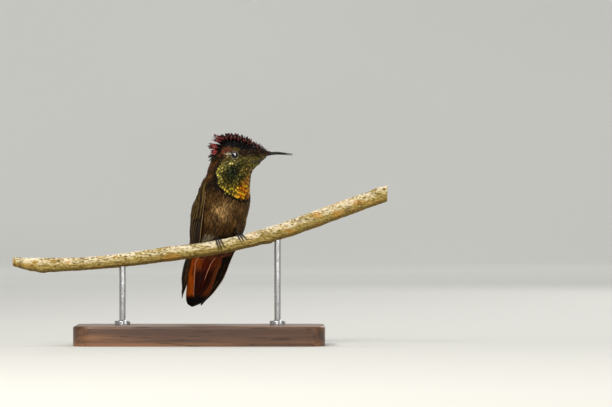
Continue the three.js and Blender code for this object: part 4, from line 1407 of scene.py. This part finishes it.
def tuft_piece(name, finish, plans, shade, bright, seed):
    """Tufts of long pointed feathers on both sides of the head, each tuft a small fan."""
    chance = np.random.default_rng(seed)
    roots, tips, ups = [], [], []
    for side in (-1, 1):
        for tuft in plans:
            for number in range(tuft["count"]):
                last = tuft["count"] - 1
                share = number / last
                out = between(tuft["out"], chance.permutation(tuft["count"])[0] / last)
                ahead, high = tuft["root"]
                ahead += 0.7 * chance.uniform(-1, 1)
                spot = (ahead, HEAD_MIDDLE + side * out, high + 0.5 * (share - 0.5))
                spot, normal, _, _ = hide_tree.find_nearest(Vector(spot))
                fan = math.radians(tuft["fan"] * (2 * share - 1))
                turn = math.atan2(tuft["way"][1], tuft["way"][0]) - fan
                long = tuft["long"] * chance.uniform(0.78, 1.04)
                aim = np.array([math.cos(turn), side * 0.12, math.sin(turn)]) * long
                roots.append(np.array(spot))
                tips.append(np.array(spot) + aim)
                ups.append(np.array(normal))
    root, tip, up = (np.array(part) for part in (roots, tips, ups))
    way = unit(tip - root)
    start = unit(way + 0.35 * up)
    leaning = level_with(up, start)
    end = unit(way + np.array([0, 0, 0.12]))
    wide = TUFT["wide"] * chance.uniform(0.85, 1.15, len(root))
    dye = mixed(shade, bright, 0.35 + 0.65 * chance.random(len(root)))
    tufts = feathers(name, finish, "spike", root, tip, start, end, leaning, leaning, wide, dye)


tuft_feather = crest_finish("tuft_feather", 0.8)
tuft_piece("crest_tufts", tuft_feather, TUFTS, CREST_DYES["tip"], CREST_DYES["tuft"], TUFT["seed"])
tuft_piece("nape_wisps", back_feather, WISPS, CREST_DYES["root"], CREST_DYES["wisp"], TUFT["seed"] + 1)

# ---------------------------------------------------------------------------------------------------
# The wings: each folded, its ten primaries stacked like a closed fan and reaching to the tip, six shorter
# secondaries over them, and rows of coverts over their roots. Every flight feather has its own shaft.
# ---------------------------------------------------------------------------------------------------
LEVELS = 44  # level lines drawn across a folded blade
STEPS = 24  # places along each level line
TRIM = 0.35  # how far inside the blade's ends the first and last lines lie, in millimetres
TIP_WIDE = 1.5  # a blade's width at its very tip, in millimetres
SHAFT = -0.4  # the mark across a long feather at its shaft, between -1 and 1 at its edges


def softened(grid, rounds):
    """A grid of places with its corners eased: each is moved towards its neighbours on both sides."""
    for _ in range(rounds):
        for axis in (0, 1):
            grid = np.moveaxis(grid, axis, 0).copy()
            grid[1:-1] = grid[1:-1] * 0.5 + (grid[:-2] + grid[2:]) * 0.25
            grid = np.moveaxis(grid, 0, axis)
    return grid


def level_lines(piece, heights, inward, back):
    """The outer and inner sides of a thin upright blade, as places on level lines from its front edge.

    The inner side is the one towards the place inward, and the back edge is the one further along back.
    """
    places = points_of(piece) / MM
    edges = np.array([edge.vertices[:] for edge in piece.data.edges])
    first, second = places[edges[:, 0]], places[edges[:, 1]]
    sides = ([], [])
    for height in heights:
        crossing = (first[:, 2] - height) * (second[:, 2] - height) < 0
        share = ((height - first[crossing, 2]) / (second[crossing, 2] - first[crossing, 2]))[:, None]
        found = first[crossing] * (1 - share) + second[crossing] * share
        gaps = np.linalg.norm(found[:, None] - found[None], axis=-1)
        ends = found[list(np.unravel_index(np.argmax(gaps), gaps.shape))]
        lead, trail = ends[np.argsort(ends @ back)]
        chord = trail - lead
        out = unit(np.array([chord[1], -chord[0], 0]))
        out = -out if (inward - lead) @ out > 0 else out
        share = (found - lead) @ chord / (chord @ chord)
        proud = (found - lead) @ out
        across = (np.arange(STEPS) + 0.5) / STEPS
        middle = np.polyval(np.polyfit(share, proud, 2), share)
        for store, kept in zip(sides, (proud >= middle, proud <= middle)):
            order = np.argsort(share[kept])
            line = np.interp(across, share[kept][order], proud[kept][order])
            store.append(lead + across[:, None] * chord + line[:, None] * out)
    return [softened(np.array(side), 3) for side in sides]


class Blade:
    """A folded wing's or tail's own space: a height, a distance in from its front edge, and a depth.

    Spread widens it and bow moves it forward, each by pairs of a height and an amount. Blunt widens its tip.
    """

    def __init__(self, nodes, inward, back, spread, bow, blunt=0.0):
        let_go()
        piece = clone("blade", nodes)
        reach = points_of(piece)[:, 2] / MM
        self.bottom = reach.min()
        self.heights = np.linspace(self.bottom + TRIM, reach.max() - TRIM, LEVELS)
        wider = np.interp(self.heights, *zip(*spread))
        wider = wider * (1 + blunt * fade(self.heights, self.bottom + 3, self.bottom))
        sides = []
        for side in level_lines(piece, self.heights, inward, back):
            side = side[:, :1] + (side - side[:, :1]) * wider[:, None, None]
            ahead = unit(side[:, :1] - side[:, -1:])
            side = side + ahead * np.interp(self.heights, *zip(*bow))[:, None, None]
            sides.append(slimmed(side.reshape(-1, 3)).reshape(side.shape))
        self.outer, self.inner = sides
        steps = np.linalg.norm(np.diff((self.outer + self.inner) / 2, axis=1), axis=-1)
        self.widths = steps.sum(axis=1) * STEPS / (STEPS - 1)
        bpy.data.objects.remove(piece)

    def width(self, height):
        """How wide the blade is at each height, down to its tip."""
        return np.interp(height, [self.bottom, *self.heights], [TIP_WIDE, *self.widths])

    def at(self, height, reach, depth):
        """Places at heights and distances from the front edge: depth 1 is the outer side and 0 the inner."""
        level = (height - self.heights[0]) / (self.heights[-1] - self.heights[0]) * (LEVELS - 1)
        beneath = np.minimum(level, 0)[..., None]
        level = np.maximum(level, 0)
        step = np.clip(reach / self.width(height), 0, 1) * STEPS - 0.5
        line = np.clip(level.astype(int), 0, LEVELS - 2)
        place = np.clip(step.astype(int), 0, STEPS - 2)
        up, along = (level - line)[..., None], (step - place)[..., None]
        found = []
        for side in (self.inner, self.outer):
            near = side[line, place] * (1 - up) + side[line + 1, place] * up
            far = side[line, place + 1] * (1 - up) + side[line + 1, place + 1] * up
            # Below its lowest line the blade runs straight on.
            onward = (side[4] - side[0]).mean(axis=0) / 4
            found.append(near * (1 - along) + far * along + onward * beneath)
        depth = np.asarray(depth)[..., None]
        return found[0] * (1 - depth) + found[1] * depth


# A long feather's usual plan. Its shaft's place across it goes from -1 to 1, its quill's girth is a share of
# QUILL's, and the quill ends at a share of the feather's length, or at the tip where that is over 1.
PLUME = {
    "rows": 40, "columns": 10, "thick": 0.05, "camber": 0.12, "tuck": 0.05, "round": 0.1, "sink": 0.0,
    "shaft": [(0, SHAFT), (1, SHAFT)], "quill": 1.0, "quill_end": 2.0, "mirror": 1, "from_back": False,
}
QUILL = {"sides": 6, "root": 0.12, "tip": 0.03, "flat": 0.8, "proud": 0.05, "mark": 2.0}


def quill_tube(upper, facing, shaft, plan):
    """A feather's shaft, a thin tapering tube along its vane: its points, its faces and its marks."""
    rows, columns = plan["rows"], plan["columns"]
    run = np.linspace(0, 1, rows + 1)
    column = (shaft.ravel() + 1) / 2 * columns
    left = column.astype(int)
    part = (column % 1)[:, None]
    line = upper[range(rows + 1), left] * (1 - part) + upper[range(rows + 1), left + 1] * part
    out = facing[range(rows + 1), left]
    ahead = unit(np.gradient(line, axis=0))
    beside = unit(np.cross(ahead, out))
    turns = np.linspace(0, 2 * math.pi, QUILL["sides"], endpoint=False)
    girth = (QUILL["root"] + (QUILL["tip"] - QUILL["root"]) * run)[:, None, None] * plan["quill"]
    girth = girth * fade(run, plan["quill_end"] + 0.1, plan["quill_end"])[:, None, None]
    wide, tall = np.cos(turns)[None, :, None], QUILL["flat"] * np.sin(turns)[None, :, None]
    ring = wide * beside[:, None] + tall * out[:, None]
    tube = (line + out * QUILL["proud"] * plan["quill"])[:, None] + girth * ring
    grid = np.arange(tube.shape[0] * tube.shape[1]).reshape(tube.shape[:2])
    marks = np.column_stack([np.repeat(run, QUILL["sides"]), np.full(grid.size, QUILL["mark"])])
    return tube.reshape(-1, 3), quads_of(np.column_stack([grid, grid[:, :1]])), marks


def plume(blade, **plan):
    """One long feather in a blade's space: its points, its faces, and its marks along and across."""
    plan = {**PLUME, **plan}
    rows, columns = plan["rows"], plan["columns"]
    faces, size = vane_faces(rows, columns)
    along = np.linspace(0, 1, rows + 1)[:, None]
    across = np.linspace(-1, 1, columns + 1)[None, :]
    blunt = 1 - plan["round"] * np.abs(across) ** 2.2
    share = along * (1 - (1 - blunt) * fade(along, 0.3, 1.0))
    height = plan["root"] + (plan["tip"] - plan["root"]) * share
    full = blade.width(height)
    breadth = np.minimum(np.interp(share, *zip(*plan["breadth"])), full)
    front = np.interp(share, *zip(*plan["front"]))
    if plan["from_back"]:
        front = full - front - breadth
    front = np.clip(front, 0, full - breadth)
    reach = front + breadth * (across + 1) / 2
    depth = plan["depth"] - plan["tuck"] * across - plan["sink"] * (1 - share) ** 3
    upper = blade.at(height, reach, depth)
    over = blade.at(height, reach, depth + 0.5)
    facing = unit(np.cross(np.gradient(upper, axis=0), np.gradient(upper, axis=1)))
    turn = np.sign(np.sum(facing * (over - upper), axis=-1).mean())
    facing = facing * turn
    upper = upper + facing * (plan["camber"] * (1 - across**2))[..., None]
    under = (upper - facing * plan["thick"])[1:-1, 1:-1]
    shaft = np.interp(along, *zip(*plan["shaft"]))
    way = plan["mirror"]
    spine = np.linspace(-1, 1, columns + 1) * way
    wide = np.array([np.interp(spine, [-1, place * way, 1], [-1, SHAFT, 1]) for place in shaft.ravel()])
    marks = [
        np.column_stack([share.ravel(), wide.ravel()]),
        np.column_stack([share[1:-1, 1:-1].ravel(), wide[1:-1, 1:-1].ravel()]),
    ]
    tube, tube_faces, tube_marks = quill_tube(upper, facing, shaft, plan)
    points = np.concatenate([upper.reshape(-1, 3), under.reshape(-1, 3), tube])
    corners = np.concatenate([faces if turn > 0 else faces[:, ::-1], tube_faces + size])
    return points, corners, np.concatenate([*marks, tube_marks])


def plumes(name, blade, finish, plans, dyes, seed):
    """Long feathers joined as one piece, each with its own dye and its own strip of the flat map."""
    chance = np.random.default_rng(seed)
    parts = [plume(blade, **plan) for plan in plans]
    starts = np.cumsum([0] + [len(points) for points, _, _ in parts])
    corners = np.concatenate([faces + start for (_, faces, _), start in zip(parts, starts)])
    piece = mesh_piece(name, np.concatenate([points for points, _, _ in parts]) * MM, corners)
    marks, paint, flat = [], [], []
    for number, (points, _, mark) in enumerate(parts):
        marks.append(np.column_stack([mark, np.full(len(mark), chance.random())]))
        paint.append(np.tile(np.append(dyes[number], 1.0), (len(points), 1)))
        across = np.where(mark[:, 1] == QUILL["mark"], 0.97, mark[:, 1] * 0.9)
        flat.append(np.column_stack([(number + 0.5 + 0.48 * across) / len(parts), 0.02 + 0.96 * mark[:, 0]]))
    mark_points(piece, "vane", "FLOAT_VECTOR", np.concatenate(marks))
    mark_points(piece, "dye", "FLOAT_COLOR", np.concatenate(paint))
    flat_map(piece, np.concatenate(flat))
    finish.wear(piece)
    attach(piece, "root")
    return piece


def plume_finish(name, quill, edge_dye, edge_from, tip_dye, tip_from, metal, inner_dye=None, both=False):
    """A flight feather: slanting barbs, a quill of its own colour, a paler front edge and a darker tip."""
    made = Finish(name, Metallic=metal, Specular_IOR_Level=0.12)
    vane, along, across, chance = vane_marks(made)
    slant = (along * 150 - (across - SHAFT).size() * 26 + chance * 9).sine()
    streak = vane.scaled(2.0, 1.7, 40).noise(2.0, 3.0, 0.6)
    colour = made.mark("dye", "Color")
    if inner_dye:
        colour = (across.rise(-0.45, -0.2) * along.rise(0.2, 0.42)).blend(colour, inner_dye)
    colour = (slant.rise(-0.4, 1.0) * 0.2 + streak.rise(0.4, 0.65) * 0.5).blend(colour, tone(12, 9, 6))
    front = across.size() if both else across * -1
    colour = (front.rise(edge_from, edge_from + 0.2) * 0.85).blend(colour, edge_dye)
    colour = across.rise(1.4, 1.6).blend(colour, quill)
    made.colour(along.rise(tip_from, tip_from + 0.1).blend(colour, tip_dye))
    made.vary("Roughness", 0.42 + streak * 0.2 + chance * 0.08)
    made.relief(slant * 0.6 + streak * 0.3, 0.00004, 0.6)
    return made


# How much each wing widens from its front edge at each height: fuller at its tip and rounded at the shoulder.
SPREAD = [(26, 1.7), (36, 1.0), (56, 1.0), (61, 0.82), (66, 0.5)]
# How far each wing's lower part bows forward: its height, and how far.
BOW = {
    "right": [(17, 0), (26, 0.3), (40, 0)],
    "left": [(16.5, -0.6), (20, 0.6), (26, 1.3), (33, 0.9), (42, 0)],
}
# The rows of coverts: the heights of their roots and tips, how many, how wide, and how far out they lie.
COVERT_ROWS = [
    (59.5, 46.0, 5, 3.0, 0.96),
    (62.0, 51.5, 6, 2.8, 1.0),
    (64.0, 56.0, 6, 2.6, 1.05),
    (65.5, 60.0, 5, 2.4, 1.1),
]
WING_DYES = {"primary": (36, 24, 10), "secondary": (48, 32, 11), "covert": (76, 54, 18)}
PRIMARIES = 10
SECONDARIES = 6
TIP_BLUNT = 1.5  # how much wider than its solid a wing's lowest tip is made
BACKWARD = -np.array([math.sin(0.56), -math.cos(0.56), 0])  # the way from a wing's front edge to its back
primary_finish = plume_finish(
    "primary_feather", quill=tone(40, 28, 18), edge_dye=tone(140, 108, 62), edge_from=0.74,
    tip_dye=tone(18, 14, 10), tip_from=0.9, metal=0.1,
)
leading_finish = plume_finish(
    "leading_feather", quill=tone(60, 44, 28), edge_dye=tone(214, 176, 126), edge_from=0.7,
    tip_dye=tone(20, 16, 12), tip_from=0.93, metal=0.1,
)
covert_finish = plume_finish(
    "covert_feather", quill=tone(40, 28, 14), edge_dye=tone(108, 84, 42), edge_from=0.6,
    tip_dye=tone(104, 78, 40), tip_from=0.95, metal=0.2, both=True,
)


def primary_plans(blade):
    """The primaries behind the leading one, each a little shorter and further back than the last."""
    plans = []
    for number in range(1, PRIMARIES):
        share = number / (PRIMARIES - 1)
        plans.append({
            "root": 61.0 - 0.8 * share,
            "tip": blade.bottom + 25.0 * share**1.25,
            "front": [(0, 2.2 + 0.2 * number), (0.35, 1.7 * number), (1, 1.7 * number)],
            "breadth": [(0, 1.6), (0.25, 4.0), (0.85, 3.6), (1, 1.2)],
            "depth": 0.14 + 0.6 * share,
        })
    return plans


def leading_plan(blade):
    """The longest primary, along the whole front edge, with its shaft near that edge."""
    return {
        "root": 61.4,
        "tip": blade.bottom - 1.0,
        "front": [(0, 0.0), (1, 0.0)],
        "breadth": [(0, 1.4), (0.25, 3.6), (1, 3.6)],
        "depth": 0.14,
        "round": 0.02,
        "shaft": [(0, -0.62), (1, -0.62)],
    }


def secondary_plans():
    """The secondaries, laid over the primaries from the wing's back edge."""
    plans = []
    for number in range(SECONDARIES):
        share = number / (SECONDARIES - 1)
        plans.append({
            "root": 62.5 + 0.6 * share,
            "tip": 42.6 + 8.0 * share,
            "from_back": True,
            "front": [(0, 4.2 - 3.6 * share), (0.5, 2.8 - 2.6 * share), (1, 1.2 - 1.0 * share)],
            "breadth": [(0, 1.6), (0.3, 3.9), (0.85, 3.7), (1, 1.5)],
            "depth": 0.78 + 0.14 * share,
            "round": 0.14,
        })
    return plans


def covert_plans(chance):
    """The rows of small coverts over the roots of the flight feathers."""
    plans = []
    for top, foot, count, wide, depth in COVERT_ROWS:
        for number in range(count):
            share = number / (count - 1)
            plans.append({
                "root": top + 1.0 * chance.random(),
                "tip": foot + 1.5 * share + 0.28 * (top - foot) * chance.random(),
                "front": [(0, 0.2 + 5.6 * share), (1, 0.8 + 9.4 * share)],
                "breadth": [(0, 1.0), (0.35, wide), (0.85, wide * 0.9), (1, 0.9)],
                "depth": depth + 0.05 * share,
                "sink": 0.7,
                "round": 0.2,
                "rows": 14,
                "columns": 6,
                "shaft": [(0, -0.15), (1, -0.15)],
                "quill": 0.55,
            })
    return plans


def wing_dyes(kind, count, chance, light=1.0, spread=0.12):
    """A dye for each of a wing's feathers of one kind."""
    return varied(np.tile(dye_of(WING_DYES[kind]), (count, 1)), chance, light, spread)


for side in ("right", "left"):
    nodes = [f"wing_{side}_{part}" for part in ("coverts", "secondaries", "primaries")]
    blade = Blade(nodes, middle_at(50.0) * [1, 1, 0], BACKWARD, SPREAD, BOW[side], TIP_BLUNT)
    chance = np.random.default_rng(41)
    plans = primary_plans(blade)
    dyes = wing_dyes("primary", len(plans), chance)
    primaries = plumes(f"primaries_{side}", blade, primary_finish, plans, dyes, 42)
    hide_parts(f"wing_{side}_primaries")
    dyes = [dye_of(WING_DYES["primary"])]
    plumes(f"leading_primary_{side}", blade, leading_finish, [leading_plan(blade)], dyes, 43)
    plans = secondary_plans()
    dyes = wing_dyes("secondary", len(plans), chance)
    secondaries = plumes(f"secondaries_{side}", blade, covert_finish, plans, dyes, 44)
    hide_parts(f"wing_{side}_secondaries")
    plans = covert_plans(chance)
    dyes = wing_dyes("covert", len(plans), chance, 0.75, 0.45)
    # Those along the front edge are darker.
    dyes *= np.where([plan["front"][0][1] < 0.5 for plan in plans], 0.5, 1.0)[:, None]
    plumes(f"wing_coverts_{side}", blade, covert_finish, plans, dyes, 45)
coat(
    "coat_shoulders", back_feather, "scale", on_wing,
    apart=0.95, long=2.8, wide=1.5, lift=0.25, light=1.4, spread=0.45, seed=29,
)

# ---------------------------------------------------------------------------------------------------
# The tail: ten broad feathers, chestnut with glossy black tips and pale shafts. Closed, the two middle ones
# lie on top and each outer pair lies one step below and to the side.
# ---------------------------------------------------------------------------------------------------
tail_finish = plume_finish(
    "tail_feather", quill=tone(226, 158, 124), edge_dye=tone(176, 82, 16), edge_from=0.9,
    tip_dye=tone(12, 9, 10), tip_from=0.785, metal=0.1, inner_dye=tone(60, 16, 4),
)
low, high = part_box("tail")
TAIL = {"pairs": 5, "step": 1.0, "breadth": 6.2, "narrow": 3.6, "root": high.z / MM + 2.0, "tip": low.z / MM}
TAIL_SPREAD = [(17, 1.3), (24, 1.12), (30, 1.05), (35, 1.25)]
TAIL_BOW = [(25, 0), (31, 0.7), (35, 1.9)]
# From the middle pair outwards: each pair's dye, and its left feather's colour as a share of the right one's,
# darker on that side as painted shade.
TAIL_DYES = [(92, 30, 8), (100, 32, 8), (112, 36, 8), (128, 46, 8), (196, 90, 8)]
TAIL_SHADE = [0.6, 0.6, 1.0, 0.9, 0.35]
# The quills that aren't of the usual girth, by pair, with the right side's below 0.
TAIL_QUILLS = {-4: 2.2, 2: 2.0, 3: 0.3, 4: 0.2}
blade = Blade(["tail"], np.array([0, 100.0, 0]), np.array([1.0, 0, 0]), TAIL_SPREAD, TAIL_BOW)
plans, dyes = [], []
for number in range(TAIL["pairs"]):
    for side in (-1, 1):
        inset = TAIL["step"] * (TAIL["pairs"] - 1 - number)
        wide = TAIL["narrow"] if side > 0 and number > 2 else TAIL["breadth"]
        late = 1.6 if side > 0 else 0.0
        plans.append({
            "root": TAIL["root"],
            "tip": TAIL["tip"] + 0.5 * abs(number - 2),
            "from_back": side > 0,
            "front": [(0, inset + 3.0), (0.16, inset + late), (0.3, inset), (1, inset * 0.7)],
            "breadth": [(0, 1.0), (0.16, wide), (0.64, wide), (0.82, TAIL["breadth"]), (1, TAIL["breadth"])],
            "depth": 0.12 + 0.18 * number + (0.06 if side > 0 else 0.0),
            "round": 0.04,
            "shaft": [(0, -0.35 * -side), (1, 0.2 * -side)],
            "quill": TAIL_QUILLS.get(side * number, 0.6),
            "quill_end": 0.44 if side * number == 2 else PLUME["quill_end"],
            "mirror": -side,
        })
        # The bird's left feathers take the darker share: painted shade.
        dyes.append(dye_of(TAIL_DYES[number]) * (TAIL_SHADE[number] if side > 0 else 1.0))
tail = plumes("tail_feathers", blade, tail_finish, plans, dyes, 51)
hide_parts("tail")

# Short coverts over the roots of the tail feathers, on the side of the back.
plans = []
for row, (root, tip) in enumerate([(37.0, 30.2), (38.0, 32.6)]):
    for number in range(9):
        plans.append({
            "root": root,
            "tip": tip + 0.8 * (number % 3),
            "front": [(0, 1.2 * number + 0.6 - 0.5 * row), (1, 1.35 * number - 0.5 * row)],
            "breadth": [(0, 1.0), (0.4, 2.6), (1, 1.6)],
            "depth": -0.12 - 0.06 * (number % 2) - 0.25 * row,
            "round": 0.25,
            "rows": 12,
            "columns": 6,
            "quill": 0.3,
        })
chance = np.random.default_rng(52)
dyes = varied(np.tile(DYE["bronze_back"], (len(plans), 1)), chance, 1.1, 0.25)
plumes("tail_root_coverts", blade, covert_finish, plans, dyes, 53)
